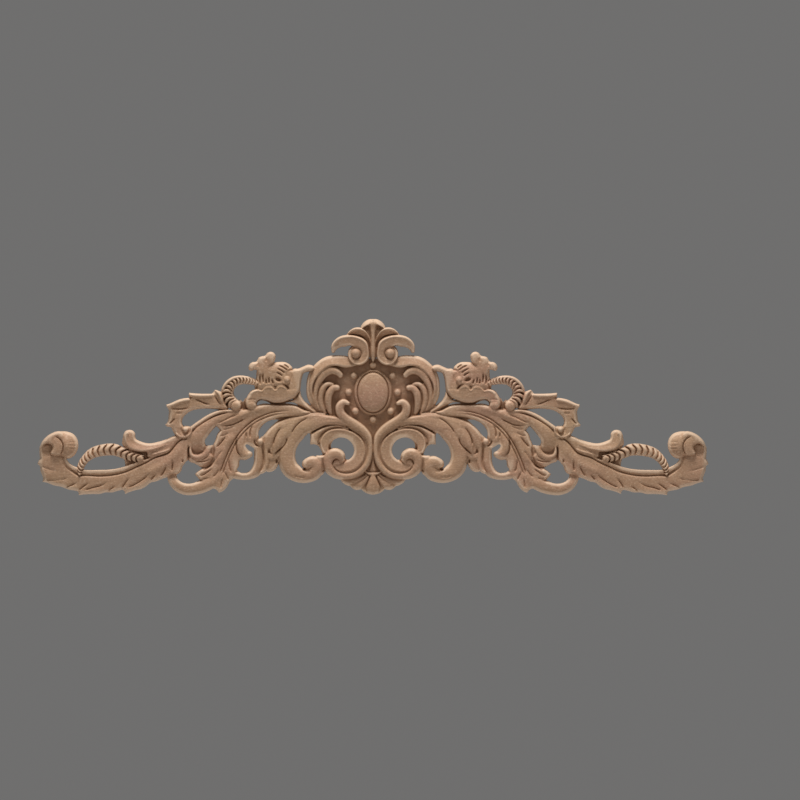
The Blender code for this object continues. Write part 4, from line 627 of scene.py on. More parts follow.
ground([(30.4, 67.3), (31.4, 68.4), (34, 69.1), (37, 68), (39.5, 67), (41.5, 67), (43, 65.8), (43.6, 64.4),
    (43.4, 62.6), (44.4, 60), (45.4, 57), (44, 52), (41.5, 51), (39.3, 53.5), (38.2, 56.5), (37.9, 59.5),
    (37.4, 62), (36.4, 64.6), (34, 65.4), (31.6, 65.6)], 8.4, bevel=1.4)
panel([(40, 64.8), (43.6, 66.2), (47, 63), (48, 59), (46, 55), (41, 53)], 7.9, edge=6, bevel=1)
crease([(38.2, 56.2), (40.2, 52.8), (44, 50.1)], 1.2, 0.7, -0.3)
dome(45.4, 61, 2.2, 2.3, 9.6, edge=6.8)
dome(47.1, 59.4, 1.7, 1.6, 9, edge=7.6)
scallops = [(44.4, 56.4), (45.6, 57.6), (47.4, 58.4), (49.3, 58.4), (50.8, 57.6), (51.5, 56.5),
    (52.3, 57.5), (54, 58.1), (56, 58), (57.8, 57.1), (58.8, 56.1), (60.2, 56.5), (62.4, 56.2),
    (64.2, 55.3), (65.6, 53.6)]
panel([(38.6, 56.4), (42.6, 57)] + scallops + [(67, 50.6), (67.2, 48), (65.8, 46), (63.6, 45.6), (61.7, 47),
    (61.2, 49.2), (60, 50.5), (56, 50.3), (52.5, 48.9), (48, 49), (44.4, 50.3), (41.8, 51.4), (39.6, 53.4)],
    8.6, edge=5, bevel=1.5)
ridge(beside(scallops, -0.9), 0.5, 0.9, 0.05)
crease([(44.1, 55.7), (46, 58.2), (48.2, 59)], 1.6, 0.6)
crease([(50.8, 58.8), (51.5, 57.4), (52.3, 58.6)], 1.1, 0.5)
dome(64, 47.8, 2.8, 2.5, 9.1, edge=6.2, section=pillow)
crease([(61, 50.2), (62.4, 50.8), (64.4, 50.9), (66.6, 50)], 0.4, 0.6)
for stroke in (
    [(44.2, 67.1), (45.6, 68.4), (47.2, 69.2)],
    [(45.2, 66.2), (47.4, 67.7), (50, 68.7)],
    [(46.4, 64.7), (48.4, 66.1), (50.8, 67.2)],
    [(47.7, 63.1), (49.2, 64.3), (51, 65)],
    [(52.5, 58.9), (52.9, 60.2), (53.4, 61.8)],
    [(54.7, 59.1), (54.8, 60.8), (55.1, 62.8)],
    [(56, 58.9), (56.3, 60.3), (56.2, 61.9)],
    [(57.6, 59.3), (58, 62), (57.8, 65)],
    [(59.3, 58.5), (59.6, 61.5), (59.2, 64.6)],
    [(60.8, 58.2), (61, 59.6), (60.7, 61.4)],
):
    crease(stroke, 1.6, 0.6, fade=(0.15, 0.3))
hollow(49.9, 61.3, 2, 1.3, 1.9, 25)
hollow(61.4, 57.2, 0.9, 1, 1.6)
hole([(35.4, 50.6), (35.1, 55), (35, 60), (35, 64, TIP), (36.2, 62.6), (36.9, 60), (37.2, 57), (37, 53.6),
    (36.4, 51.2)])
hole([(39.4, 47.6, TIP), (43, 48.5), (46.5, 48.8, TIP), (44, 49.3), (41, 48.9)])
hole([(53.8, 48.3, TIP), (58, 48.6), (61, 47.6, TIP), (60.9, 49.1), (59.7, 50.1), (56.5, 49.9)])


# The roped ring beside the bud: a strand of the same wood, carved so that its turns lap one over the next.
# One tree lays the turns along the cord's path, and a slot is cut between each turn and the next.
CORD_BODY = 6.0
CORD_CREST = 8.4
TURN_SHOWN = 0.8
SLOT_DEPTH = 1.6


def lay_cord(points, form):
    """Lays a cord on the board, a turn at each point of its curve, and cuts a slot between each two. Turns
    crowd where the cord is thin."""
    band(points, CORD_BODY, roll)
    path = trace(points)
    run = np.hypot(*np.diff(path[:, :2], axis=0).T) / path[1:, 2] ** form["Crowd"]
    place = np.concatenate([[0.0], np.cumsum(run)])
    even = np.linspace(0, place[-1], round(place[-1] / (TURN_SHOWN * form["Length"])) + 1)
    seats = np.column_stack([np.interp(even, place, column) for column in path.T]).tolist()
    curve = bpy.data.curves.new("cord", "CURVE")
    curve.dimensions = "3D"
    line = curve.splines.new("POLY")
    line.points.add(len(seats) - 1)
    for point, (x, z, radius) in zip(line.points, seats):
        point.co = (x, radius - CORD_CREST, z, 1.0)
        point.radius = radius
    press(grown(curve, cord_tree, form))
    for (x, z, radius), (next_x, next_z, _) in zip(seats, seats[1:]):
        step = math.hypot(next_x - x, next_z - z)
        on_x, on_z = (next_x - x) / step, (next_z - z) / step
        slot = []
        for side in (-0.95, -0.5, 0, 0.4, 0.8):
            ahead = (form["Dome"] * side + form["Lean"]) * side * form["Length"] * radius ** form["Crowd"]
            slot.append(((x + next_x) / 2 + ahead * on_x - radius * side * on_z,
                         (z + next_z) / 2 + ahead * on_z + radius * side * on_x))
        crease(slot, SLOT_DEPTH, 0.4 + 0.1 * radius, fade=(0.1, 0.15))


def math_node(operation, *values):
    """A sum in the cord's tree."""
    return add_node(cord_tree, "ShaderNodeMath", dict(enumerate(values)), operation=operation).outputs[0]


cord_tree, given = new_tree("cord", (("Lean", "Float"), ("Dome", "Float"), ("Length", "Float"),
                                     ("Crowd", "Float"), ("Wood", "Material")))
along = add_node(cord_tree, "GeometryNodeCurveToPoints", {"Curve": given["Geometry"]}, mode="EVALUATED")
upright = add_node(cord_tree, "FunctionNodeAlignRotationToVector", {"Vector": along.outputs["Tangent"]},
                   axis="Z")
facing = add_node(cord_tree, "FunctionNodeAlignRotationToVector",
                  {"Rotation": upright.outputs[0], "Vector": (0.0, 1.0, 0.0)}, axis="X", pivot_axis="Z")
coin = add_node(cord_tree, "GeometryNodeMeshCylinder",
                {"Vertices": 24, "Side Segments": 2, "Radius": 1.06, "Depth": 1.0})
soft_coin = add_node(cord_tree, "GeometryNodeSubdivisionSurface", {"Mesh": coin.outputs["Mesh"], "Level": 3})
where = add_node(cord_tree, "GeometryNodeInputPosition", {})
across = add_node(cord_tree, "ShaderNodeSeparateXYZ", {0: where.outputs[0]}).outputs["Y"]
bow = math_node("MULTIPLY", math_node("MULTIPLY_ADD", across, given["Dome"], given["Lean"]), across)
shift = add_node(cord_tree, "ShaderNodeCombineXYZ", {"Z": bow})
domed = add_node(cord_tree, "GeometryNodeSetPosition",
                 {"Geometry": soft_coin.outputs[0], "Offset": shift.outputs[0]})
radius = add_node(cord_tree, "GeometryNodeInputRadius", {}).outputs[0]
length = math_node("MULTIPLY", math_node("POWER", radius, given["Crowd"]), given["Length"])
scale = add_node(cord_tree, "ShaderNodeCombineXYZ", {"X": radius, "Y": radius, "Z": length})
turns = add_node(cord_tree, "GeometryNodeInstanceOnPoints", {
    "Points": along.outputs["Points"], "Instance": domed.outputs[0],
    "Rotation": facing.outputs[0], "Scale": scale.outputs[0]})
finish_tree(cord_tree, turns.outputs[0], given["Wood"])

ring_form = {"Lean": 0.0, "Dome": -0.60, "Length": 1.5, "Crowd": 0.5, "Wood": raw_wood}
lay_cord([(73, 48.2, 3.0), (75.2, 50.2, 3.3), (76.6, 53.5, 3.3), (75.8, 57, 3.0), (73, 59.8, 2.6),
    (69, 60.9, 2.2), (65, 60.4, 1.8), (61.2, 59.4, 1.3)], ring_form)
band([(62.5, 61.3, 0.5), (66, 62.2, 0.7), (70, 62.6, 0.8), (74, 61.7, 0.9), (77.2, 59.2, 0.9),
    (79.1, 56, 0.7)], (6.8, 7.4, 7.9, 8.3, 8.4, 7.8), roll, edge=6)
dome(72.3, 47.4, 2.9, 2.8, 9, edge=6.2, section=pillow)
hole([(64, 57.8), (67.5, 58.6), (70.6, 58.3), (72.4, 56.3), (72.3, 53.8), (70.4, 51.5), (68.5, 49.6),
    (67.2, 51.8), (66, 55)])

# The toothed leaf that arches over from the roped ring to a bead in a small cup. It is a flat body of the
# same wood with raised lips and a few veins, and the window under its arch is sawn through.
ground([(76, 46), (78.5, 50.5), (79.4, 54.6), (81, 55.2), (83.2, 55.9, TIP), (84.1, 54.6), (85, 53.7),
    (90, 53.8), (94, 54), (96.8, 54.3, TIP), (97, 53), (96.5, 51.8), (98, 51.5), (101, 51), (105, 49.2),
    (108.8, 48.1, TIP), (108.3, 46.6), (107.5, 45), (107.6, 42), (108, 39.3), (109.4, 37.4, TIP),
    (108.3, 36.5), (106.5, 36.2), (105.3, 34), (103.5, 31.3), (100.5, 29.8), (97, 31), (95, 33.6),
    (95.5, 36.2), (97.3, 37), (99.8, 37), (100.5, 38.8), (100, 41), (98, 43.3), (95, 45), (91, 45.8),
    (86, 45.9), (81, 45.3, TIP)], 7.8, bevel=1.6)
band([(79.2, 48.8, 0.9), (80.4, 51.8, 1.4), (81.4, 54.2, 1), (82.8, 55.2, 0.6)], (8, 8.8, 8.8, 8.2), roll,
    edge=6)
band([(84.7, 53, 0.8), (90, 52.7, 1.1), (96.2, 53.2, 0.8)], 8.6, roll, edge=6, soft=0.8)
band([(97.2, 50.6, 1), (101.5, 49.7, 1.2), (105.4, 48.2, 1), (108.2, 47.4, 0.6)], 8.6, roll, edge=6,
    soft=0.8)
for line, depth, wide in (
    ([(85.5, 48.2), (88.5, 48.9), (91, 50), (94.2, 51.4)], 1.5, 0.8),
    ([(96.5, 46.7), (100, 46), (104, 45.9), (107, 46.5)], 1.4, 0.8),
    ([(79.8, 47.6), (82, 50.6), (83.4, 53.2)], 1.3, 0.8),
    ([(104.3, 41.2), (106, 39.2), (107.8, 37.7)], 1.4, 0.8),
    ([(100.4, 43.9), (102.2, 43.6), (104, 43.9)], 0.6, 0.8),
):
    crease(line, depth, wide, -0.5)
hollow(98.6, 34.6, 3.2, 3.2, 1.4)
band([(95.6, 35.2, 0.6), (96.2, 32.8, 0.8), (98.8, 31.2, 0.9), (101.8, 31.4, 0.8), (103.6, 33, 0.5)], 8.2,
    roll, edge=6.4)
dome(98.7, 34.9, 1.7, 1.6, 9, edge=6.4)
hole([(81, 45.3, TIP), (86, 45.9), (91, 45.8), (95, 45), (98.3, 43), (100.2, 40.8), (100.4, 38.4),
    (99.9, 37.2), (97.8, 37.1), (95.8, 36.3, TIP), (92, 39.5), (87, 42.6)])

# The long toothed leaf that runs out to the end of the ornament. It is a gently rounded body of the same
# wood with teeth along its lower edge, and a vein is cut to each tooth.
ground([(96.8, 33), (98, 30.6), (101, 30.2), (104, 27.3), (107, 23.3), (111, 21.7), (115, 20.5), (119, 18),
    (124, 15.8), (130, 13), (137, 11.3), (144, 10.8), (151, 11.2), (154.4, 11), (158, 13), (161, 15.4),
    (163, 20), (168, 22), (173, 21), (175.3, 19.5), (176.6, 16.8, TIP), (175.3, 15.5), (175.1, 13.5),
    (174.2, 11), (173.6, 9.3), (174.1, 7.5, TIP), (171, 6.8), (168, 5.6), (164, 4.8), (160, 3.3),
    (157, 2.8), (155.3, 2.3), (154.9, 0.4, TIP), (152, 0.8), (148, 1), (143.5, 1.1), (141, 1.8), (137, 1.9),
    (134, 2.8), (131.4, 3), (130.5, 1, TIP), (128, 2.1), (125, 3), (122, 3.7), (119.5, 5), (117, 7),
    (114, 7.7), (111, 9), (108.3, 9.8, TIP), (106, 10.8), (103.5, 11.2, TIP), (101.5, 12.3), (100, 16),
    (97.6, 18.6), (96.9, 24)], 7.6, bevel=1.5)
ridge([(100, 28), (103, 23), (107, 18.5), (114, 14.5), (122, 11)], 0.6, 3.6)
for line in (
    [(100.3, 19.6), (100.1, 18.5), (100.3, 17.4)],
    [(105.7, 19.5), (105.5, 16), (105.9, 13)],
    [(108.5, 17), (109.8, 13.2), (112, 10)],
    [(114.5, 11.5), (115.6, 9.8), (117, 8.2)],
    [(117, 13), (119.6, 9.8), (123.6, 7), (129.3, 4.2)],
    [(128, 9.8), (130, 7.2), (132, 3.8)],
    [(135.2, 5.2), (137.8, 3.7), (140.4, 1.6)],
    [(139.4, 7.6), (143.5, 5.3), (148, 4.2), (152, 2.8)],
    [(149.4, 6.9), (152.2, 5), (155, 2.8)],
    [(155.4, 7.2), (159, 5.4), (163.4, 4.2)],
    [(160, 9.6), (165, 8.3), (172.6, 8.5)],
    [(165.4, 13), (169.6, 13.6), (175, 15.7)],
):
    crease(line, 1.3, 0.85, 0.5, (0.4, 0.15))

# The stem that swings under the main leaf and up to the outer leaf. It is a round strand of the same wood,
# and the window above it is sawn through.
band([(81, 10.5, 1.6), (84.5, 7.2, 2.8), (89, 5.3, 3.4), (94, 4, 3.4), (98.5, 3.7, 3.2), (102.8, 5.5, 3),
    (105.4, 9, 2.7), (106, 12, 2.2)], (7.5, 8, 8.2, 8.2, 8, 7.8, 6.6, 5.2), soft=0.8)
hole([(90, 14.7, TIP), (93, 16.8), (96.3, 18.7), (97.8, 18.5), (100, 15.2), (101.5, 12.5),
    (103.4, 11.2, TIP), (102.9, 9.2), (101, 7.4), (98, 6.5), (94.2, 6.9), (91.4, 8.7, TIP),
    (93.8, 11.5, TIP)])

# The thick stem between the leaves, which ends as a rounded bud in two cups. It is one swelling form of the
# same wood with a thin rim along its upper edge, and a window is sawn through beside it.
ground([(70, 44), (76, 45), (81, 45.2), (86, 43), (91, 39.8), (95.5, 36.6), (97.4, 33), (97.3, 26),
    (97.6, 20), (97, 18.6), (93, 16.8), (90, 14.8), (86.5, 15.4), (84, 18), (83.4, 22), (84, 26.8),
    (88, 26.8), (88.6, 28.5), (87, 31.5), (84.4, 34.8), (80, 39), (74, 42)], 6, bevel=0.8)
panel([(86, 33), (93, 35.4), (96.6, 33), (98.6, 30.6), (99.4, 28), (97.4, 25.6), (92, 25)], 7.4, bevel=1.2)
band([(69, 45.2, 0.8), (76, 43, 1.5), (81, 41, 2.3), (86, 37.9, 3.4), (90.2, 34, 4.2), (92.2, 29.5, 4.4),
    (92, 26.5, 4)], (7, 7.8, 8, 8.4, 8.8, 8.6, 8), crown, soft=1.2)
band([(74, 44.7, 0.6), (81, 44.1, 1), (86, 42, 1.1), (91, 38.8, 1.1), (95.2, 35.8, 1.1)], 8, pillow, edge=6)
crease([(76, 43.8), (81, 42.9), (86, 40.6), (91, 37.4), (95, 34.5)], 1, 0.5)
band([(85.9, 25.8, 1.6), (87.2, 23.4, 2), (89.4, 21.2, 1.9), (92.8, 20.3, 1.7), (95.4, 21.5, 1.3),
    (96.2, 24.6, 0.9), (95.9, 26.4, 0.6)], (7.2, 7.6, 7.8, 8, 8, 7.8, 7.4), pillow)
hollow(92, 24.6, 2.9, 2.4, 1.4)
panel([(84, 21), (86.2, 17.4), (90, 15.4), (94, 17.2), (97, 18.9), (96.6, 20.8), (92, 19.6), (88, 20.4),
    (86, 23)], 7.4, edge=5.4, bevel=1.6)
crease([(85.4, 19.8), (88, 18.4), (92, 18.1), (94.6, 18.6)], 1.2, 0.6)
crease([(96.8, 26.2), (97.3, 23), (97, 19.4)], 1.4, 0.6)
hole([(81.2, 35.6, TIP), (84, 34.5), (87, 31.5), (88.6, 28.5), (88, 27), (84.2, 27.2), (83.4, 29),
    (82.3, 32)])

# The upper stem with its knob, the roped arch that springs from it and the rim that the arch stands on. All
# are strands of the same wood; the arch is roped as the ring is, and the space under it is sawn through.
ground([(99, 30.4), (103.5, 32), (106, 31.2), (110, 29.1), (113, 28), (117, 27.6), (120, 27.8), (123, 28.7),
    (125, 30.2), (125.2, 33), (126.3, 34.3), (128, 34.8), (130.5, 34), (131.5, 31), (132, 29),
    (131.6, 26.4), (129, 24.2), (124, 22.8), (119.2, 22.4), (119.2, 20.8), (117.2, 19.8), (112.6, 21.4),
    (107, 23.2), (104, 27)], 7.4, bevel=1.2)
ground([(112, 22), (120, 24), (128, 25), (131, 24), (130.5, 17), (130, 13.5), (124, 15.3), (118, 18)], 5,
    bevel=0.6)
band([(99.4, 31, 1.5), (102.4, 29, 1.5), (105, 26, 1.6), (108, 23, 1.6), (113, 21.2, 1.5), (118, 18.8, 1.4),
    (124, 16, 1.3), (130, 13.4, 1.3), (137, 11.6, 1.3), (144, 11.1, 1.3), (151, 11.6, 1.3),
    (156, 12.6, 1.3), (160.6, 15.8, 1.3), (162.6, 19.5, 1.2)], 7.2)
band([(101.6, 30.6, 0.9), (106, 29, 1.6), (112, 26.9, 1.8), (118, 25.6, 2.1), (123, 26, 2.8),
    (127.2, 27.8, 3.3), (128.4, 31.2, 3.2)], (7.2, 7.5, 8.5, 9.2, 9.2, 9.2, 9.4), slope_left, soft=0.5)
ridge([(106, 25.2), (109, 23.7), (113, 22.6), (117.5, 21.4)], 0.7, 0.8)
crease([(99.4, 30.6), (102.4, 28.6), (105, 25.6), (107.5, 22.9), (111, 21.4), (115, 20.1), (118, 18.4),
    (124, 15.6), (130, 12.9), (137, 11.2), (144, 10.7), (151, 11.1), (154.4, 11.3), (158, 13.2),
    (160.8, 15.8), (162.6, 19.5)], 1.3, 0.6, 0.1, (0.02, 0.02))
band([(118.5, 19, 0.4), (121, 18.2, 0.6), (125, 16.7, 0.9), (131, 14.3, 1.1), (138, 12.8, 1.2),
    (145, 12.4, 1.3), (152, 12.6, 1.3), (157, 14.2, 1.2), (160.5, 16.5, 1.1), (162.3, 19.8, 0.8)], 7.4,
    flat, edge=5.6)
arch_cord = [(123.5, 20, 2.1), (126.5, 20.7, 2.4), (130.5, 22.1, 2.7), (136, 24.3, 3.1), (142, 24.1, 3.1),
    (148, 22.3, 2.7), (151, 19.8, 2.3), (153.2, 16.8, 2), (154.2, 14, 1.7), (154.6, 11.6, 1.1)]
lay_cord(arch_cord, {**ring_form, "Lean": -0.22, "Length": 1.32, "Crowd": 1.0})
dome(122.2, 19.7, 1.6, 1.6, 8.5, edge=6.4)
hole([(130.5, 15.6, TIP), (134, 14.6), (140, 13.9), (146, 13.8), (151.6, 14.2, TIP), (151, 16.4),
    (148.6, 18.8), (145, 20.4), (140, 21.2), (136, 20.8), (132.6, 19.4), (130.6, 17.6)])

# The outer leaf's stem rising to the rolled knob at the very end. The knob is the same wood carved as a tight
# roll, as high as any form here, with a deep cut down its outer side and four faint ones at the left.
panel([(161.5, 10), (162.4, 16), (163, 21), (164, 25), (175.4, 26), (175.5, 22), (175.2, 19), (175.4, 16.4),
    (174.4, 13), (173, 9.4), (169, 7.4), (164, 7)], 7.4, bevel=1.4, soft=1.2)
panel([(155.1, 27.4), (155.9, 30.4), (157.9, 32.7), (160.8, 33.8), (164.6, 34), (168.2, 33.4), (168, 28),
    (167, 22), (165.5, 20.4), (161, 20.5), (157.5, 21.8), (155.5, 24.5)], 9.2, bevel=5.0)
panel([(162, 32), (164.6, 34), (168.4, 33.3), (171.9, 31.2), (174.4, 28.2), (175.4, 25), (175.5, 21.8, TIP),
    (174.7, 24.6), (173.4, 26.4), (171.4, 27.2), (169.4, 26.5, TIP), (169.1, 25.2), (169.7, 23.8),
    (170.2, 22.3), (168.8, 21.2), (165.8, 20.8), (163.4, 21.2)], 9.4, edge=5.4, bevel=1.3)
dome(161.2, 26.6, 6, 7, 10.2, edge=5.5)
crease([(167.8, 31.4), (165.5, 30.4), (163.9, 28.6), (163.2, 26), (163.6, 23.5), (165, 21.4)], 1.5, 0.6,
    -0.3, (0.15, 0.1))
hollow(172.2, 24.6, 3.4, 4.2, 0.8)
for z in (28.4, 26.6, 24.9, 23.2):
    crease([(155.4, z), (158, z - 0.1), (161, z + 0.1)], 0.3, 0.5)


# The carving is closed: the grid is cut along the outline and given side walls and a flat back. The half is
# thinned where it is flat and mirrored on the centre line, in one piece as the real one.
UNIT = 0.350 / 353.2
TRIANGLES = 188000
SNAP = 0.3
FACE_FROM = 1.5
SHARP = math.radians(55)


def trimmed_grid(field):
    """The grid's triangles, cut along the outline. A grid point close to the outline is moved onto it.
    Returns the points, their grid numbers (-1 for a point that a cut made) and the triangles."""
    x, z = np.meshgrid(grid_x, grid_z)
    level = field.copy()
    slope_z, slope_x = np.gradient(level, PITCH)
    steep = np.maximum(slope_x**2 + slope_z**2, 0.25)
    near = np.abs(level) < SNAP * PITCH
    x = np.where(near, x - level * slope_x / steep, x)
    z = np.where(near, z - level * slope_z / steep, z)
    x[:, 0] = 0.0
    level[near] = 0.0
    places = np.column_stack([x.ravel(), z.ravel()])
    level = level.ravel()

    number = np.arange(level.size).reshape(x.shape)
    a, b, c, d = number[:-1, :-1], number[:-1, 1:], number[1:, 1:], number[1:, :-1]
    faces = np.vstack([np.stack(corners, -1).reshape(-1, 3) for corners in ((a, b, c), (a, c, d))])
    high = level[faces] > 0
    count = high.sum(1)

    def turned(chosen, lead):
        return np.take_along_axis(chosen, (lead.argmax(1)[:, None] + np.arange(3)) % 3, 1)

    def code(pick, corners):
        """A number for each corner: a grid point with itself, or a cut between two."""
        pairs = [(m[pick], n[pick]) for m, n in corners]
        return np.column_stack([np.minimum(m, n) * level.size + np.maximum(m, n) for m, n in pairs])

    whole = (count == 0) & (level[faces] < 0).any(1)
    codes = [code(whole, [(corner, corner) for corner in faces.T])]
    p, q, r = turned(faces[count == 1], high[count == 1]).T
    in_q, in_r = level[q] < 0, level[r] < 0
    codes.append(code(in_q & in_r, ((q, q), (r, r), (r, p))))
    codes.append(code(in_q & in_r, ((q, q), (r, p), (p, q))))
    codes.append(code(~in_q & in_r, ((q, q), (r, r), (r, p))))
    codes.append(code(in_q & ~in_r, ((q, q), (r, r), (p, q))))
    q, p, r = turned(faces[count == 2], ~high[count == 2]).T
    codes.append(code(level[q] < 0, ((q, q), (q, p), (q, r))))

    used, triangles = np.unique(np.vstack(codes), return_inverse=True)
    m, n = used // level.size, used % level.size
    share = np.where(m == n, 0.0, level[m] / np.where(m == n, 1.0, level[m] - level[n]))
    points = places[m] + share[:, None] * (places[n] - places[m])
    return points, np.where(m == n, m, -1), triangles.reshape(-1, 3)


def border(triangles, count):
    """The directed edges that only one triangle has."""
    edges = np.vstack([triangles[:, [0, 1]], triangles[:, [1, 2]], triangles[:, [2, 0]]])
    ahead = edges[:, 0] * count + edges[:, 1]
    back = edges[:, 1] * count + edges[:, 0]
    return edges[~np.isin(ahead, back)]


def reading_of(field, points):
    """A field at free places, between its grid points."""
    i = np.clip((points[:, 0] - grid_x[0]) / PITCH, 0, len(grid_x) - 1.001)
    j = np.clip((points[:, 1] - grid_z[0]) / PITCH, 0, len(grid_z) - 1.001)
    i0, j0 = i.astype(int), j.astype(int)
    fi, fj = i - i0, j - j0
    low = field[j0, i0] * (1 - fi) + field[j0, i0 + 1] * fi
    high = field[j0 + 1, i0] * (1 - fi) + field[j0 + 1, i0 + 1] * fi
    return low * (1 - fj) + high * fj


def half_mesh():
    """The carved half with side walls and a flat back, open on the centre plane."""
    field = outside.copy()
    while True:
        points, grid_number, triangles = trimmed_grid(field)
        rim = border(triangles, len(points))
        starts, times = np.unique(rim[:, 0], return_counts=True)
        pinched = grid_number[starts[times > 1]]
        if not len(pinched):
            break
        field.ravel()[pinched] = -PITCH

    high = np.maximum(reading_of(height, points), THINNEST)
    x, z = points[:, 0] * UNIT, (points[:, 1] - CABOCHON_HEIGHT) * UNIT
    front = np.column_stack([x, -high * UNIT, z])
    back = np.column_stack([x, np.zeros(len(x)), z])
    wall = rim[(points[rim][:, :, 0] > 1e-6).any(1)]
    u, v = wall.T
    below = len(points)
    walls = np.vstack([np.column_stack([v, u, u + below]), np.column_stack([v, u + below, v + below])])
    faces = np.vstack([triangles, triangles[:, ::-1] + below, walls])
    mesh = bpy.data.meshes.new("applique")
    mesh.from_pydata(np.vstack([front, back]).tolist(), [], faces.tolist())
    return mesh


def blurred(field, reach):
    """The field's mean over a square of that half width, run twice for a soft edge."""
    n = int(reach / PITCH)
    for _ in range(2):
        for axis in (0, 1):
            padded = np.pad(field, [(n + 1, n) if k == axis else (0, 0) for k in (0, 1)], mode="edge")
            total = np.cumsum(padded, axis=axis)
            field = (np.take(total, range(2 * n + 1, total.shape[axis]), axis)
                     - np.take(total, range(0, total.shape[axis] - 2 * n - 1), axis)) / (2 * n + 1)
    return field


# Sanding: each height is averaged with its neighbours', across the centre line too.
sanded = np.pad(height, 1, mode="reflect")
sanded = (sanded[:-2] + 2 * sanded[1:-1] + sanded[2:]) / 4
height = (sanded[:, :-2] + 2 * sanded[:, 1:-1] + sanded[:, 2:]) / 4
applique = placed("carved_wood", half_mesh())
thin = applique.modifiers.new("Thin out", "DECIMATE")
thin.ratio = TRIANGLES / 2 / len(applique.data.polygons)
half = evaluated(applique)
applique.modifiers.remove(thin)

# The open edge is put back exactly on the centre line, where the two halves meet.
body = bmesh.new()
body.from_mesh(half)
for edge in body.edges:
    if edge.is_boundary:
        for vert in edge.verts:
            vert.co.x = 0.0
body.to_mesh(half)
body.free()

# How sunk each place is among its near and its wider surroundings. It drives painted shade, brown where a
# place is sunk, and a painted highlight, pale where it stands proud.
places = places_of(half)
drawn = np.column_stack([places[:, 0] / UNIT, places[:, 2] / UNIT + CABOCHON_HEIGHT])
solid = np.where(outside < 0, height, 0.0)
on_front = places[:, 1] < -FACE_FROM * UNIT
for name, reach in (("recess_shade_and_highlight", 1.0), ("shelter_shade", 3.5)):
    values = np.where(on_front, reading_of(blurred(solid, reach) - height, drawn), 0.0)
    half.attributes.new(name, "FLOAT", "POINT").data.foreach_set("value", values.astype(np.float32))
applique.data = half
mirror = applique.modifiers.new("Other half", "MIRROR")
mirror.merge_threshold = 1e-5
whole = evaluated(applique)
applique.modifiers.remove(mirror)
applique.data = whole
whole.shade_smooth()
whole.set_sharp_from_angle(angle=SHARP)

# The wood itself: bare, sanded, close-grained and pinkish tan, on every face of the piece. Fine fibres, short
# pores and fleck run along the length. Shade is painted brown into the sunk places, and a highlight is
# painted pale on the raised edges.
TAN = (0.45, 0.268, 0.160, 1.0)
PINK = (0.47, 0.262, 0.172, 1.0)
SAND = (0.46, 0.290, 0.168, 1.0)
FIBRE = (0.37, 0.22, 0.13, 1.0)
PORE = (0.30, 0.17, 0.10, 1.0)
FLECK = (0.31, 0.175, 0.105, 1.0)
# The colour of the painted shade in sunk places and creases.
SHADE_BROWN = (0.20, 0.095, 0.045, 1.0)
# Pale fleck in the wood, and also the colour of the painted highlight on raised edges.
PALE_FLECK_AND_HIGHLIGHT = (0.80, 0.60, 0.43, 1.0)


def noise(scale, stretch, detail, rough=0.5, offset=0.0):
    """Noise on the object's own coordinates, drawn out along X."""
    where = add_node(grain, "ShaderNodeTexCoord", {})
    size = (scale / stretch, scale, scale)
    drawn_out = add_node(grain, "ShaderNodeMapping", {
        "Vector": where.outputs["Object"], "Scale": size, "Location": (offset, offset, offset)})
    spots = add_node(grain, "ShaderNodeTexNoise", {
        "Vector": drawn_out.outputs[0], "Scale": 1.0, "Detail": detail, "Roughness": rough})
    return spots.outputs["Fac"]


def sunk_by(name):
    """The attribute that says how sunk a place is."""
    return add_node(grain, "ShaderNodeAttribute", {}, attribute_name=name).outputs["Fac"]


def toned(wood, colour, source, low, high, most=1.0):
    """Mixes a colour into the wood, from none where the source is low to the share most where it is high."""
    ramp = add_node(grain, "ShaderNodeValToRGB", {"Fac": source})
    start, end = ramp.color_ramp.elements
    start.position = low
    end.position = high
    end.color = (most, most, most, 1.0)
    mix = add_node(grain, "ShaderNodeMix", {0: ramp.outputs["Color"], 6: wood, 7: colour}, data_type="RGBA")
    return mix.outputs[2]


raw_wood.use_nodes = True
grain = raw_wood.node_tree
wood = toned(TAN, PINK, noise(45, 2.2, 2), 0.42, 0.66)
wood = toned(wood, SAND, noise(38, 2.6, 2, offset=7.3), 0.46, 0.68)
wood = toned(wood, FIBRE, noise(900, 26, 3, 0.6), 0.48, 0.80)
wood = toned(wood, PORE, noise(2300, 12, 1, offset=3.1), 0.68, 0.80)
wood = toned(wood, FLECK, noise(1500, 1.6, 2, offset=5.2), 0.44, 0.80, 0.75)
wood = toned(wood, PALE_FLECK_AND_HIGHLIGHT, noise(1350, 1.6, 2, offset=9.4), 0.52, 0.86, 0.5)
# Painted shade: brown mixed in where a place is sunk below its near and its wider surroundings.
wood = toned(wood, SHADE_BROWN, sunk_by("recess_shade_and_highlight"), 0.12, 1.40, 0.80)
wood = toned(wood, SHADE_BROWN, sunk_by("shelter_shade"), 0.3, 3.2, 0.55)
# Painted highlight: pale mixed in on raised edges, where a place stands above its near surroundings.
edge_highlight = add_node(grain, "ShaderNodeMath", {0: sunk_by("recess_shade_and_highlight"), 1: -1.0}, operation="MULTIPLY")
wood = toned(wood, PALE_FLECK_AND_HIGHLIGHT, edge_highlight.outputs[0], 0.25, 1.4, 0.5)
bump = add_node(grain, "ShaderNodeBump", {"Height": noise(1100, 14, 4, 0.6), "Strength": 0.35,
                                          "Distance": 0.00012})
shader = grain.nodes["Principled BSDF"]
shader.inputs["Roughness"].default_value = 0.62
shader.inputs["Specular IOR Level"].default_value = 0.3
grain.links.new(wood, shader.inputs["Base Color"])
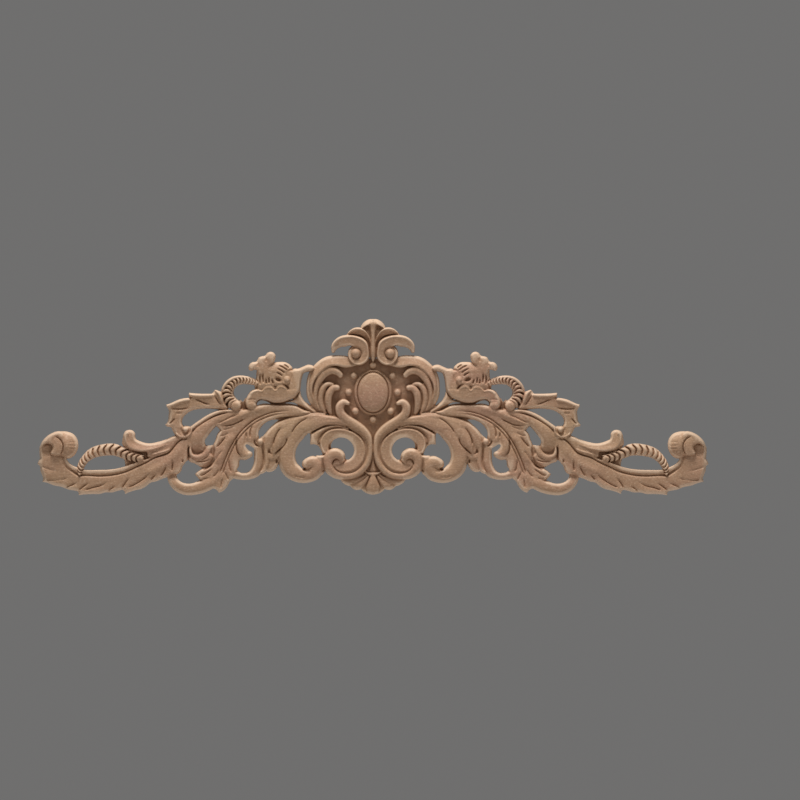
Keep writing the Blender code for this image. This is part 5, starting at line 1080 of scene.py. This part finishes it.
grain.links.new(bump.outputs["Normal"], shader.inputs["Normal"])
whole.materials.clear()
whole.materials.append(raw_wood)
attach(applique, "root")
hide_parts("applique")


# The studio: a plain pale floor below the ornament's foot, a large soft lamp above its front and a weak one
# before it. The camera looks straight at the front; its frame is given in the drawing's unit.
FLOOR_HALF = 2.0
FLOOR_DROP = 0.20
PICTURE_MIDDLE = (14.2, 50.5)
PICTURE_WIDTH = 800 / 1.9

under = cad_box[0][2] - FLOOR_DROP
corners = [(x * FLOOR_HALF, y * FLOOR_HALF, under) for x, y in ((-1, -1), (1, -1), (1, 1), (-1, 1))]
floor_mesh = bpy.data.meshes.new("floor")
floor_mesh.from_pydata(corners, [], [(0, 1, 2, 3)])
floor = placed("floor", floor_mesh)
paint = bpy.data.materials.new("pale_floor")
paint.use_nodes = True
coat = paint.node_tree.nodes["Principled BSDF"].inputs
coat["Base Color"].default_value = (0.62, 0.61, 0.60, 1.0)
coat["Roughness"].default_value = 0.9
floor_mesh.materials.append(paint)

world = bpy.data.worlds.new("studio")
world.use_nodes = True
glow = world.node_tree.nodes["Background"].inputs
glow["Color"].default_value = (0.80, 0.79, 0.78, 1.0)
glow["Strength"].default_value = 0.20
bpy.context.scene.world = world
bpy.context.scene.view_settings.view_transform = "Standard"
for name, place, size, power in (
    ("key", (-0.06, -0.27, 1.0), 0.40, 14.2),
    ("fill", (0.15, -1.0, 0.15), 0.7, 1.0),
):
    lamp = bpy.data.lights.new(name, "AREA")
    lamp.size = size
    lamp.energy = power
    stand = placed(name, lamp)
    stand.location = place
    stand.rotation_euler = (-Vector(place)).to_track_quat("-Z", "Y").to_euler()

camera = bpy.data.cameras.new("camera")
camera.type = "ORTHO"
camera.ortho_scale = PICTURE_WIDTH * UNIT
eye = placed("camera", camera)
eye.location = (PICTURE_MIDDLE[0] * UNIT, -1.0, (PICTURE_MIDDLE[1] - CABOCHON_HEIGHT) * UNIT)
eye.rotation_euler = (math.radians(90), 0, 0)
bpy.context.scene.camera = eye
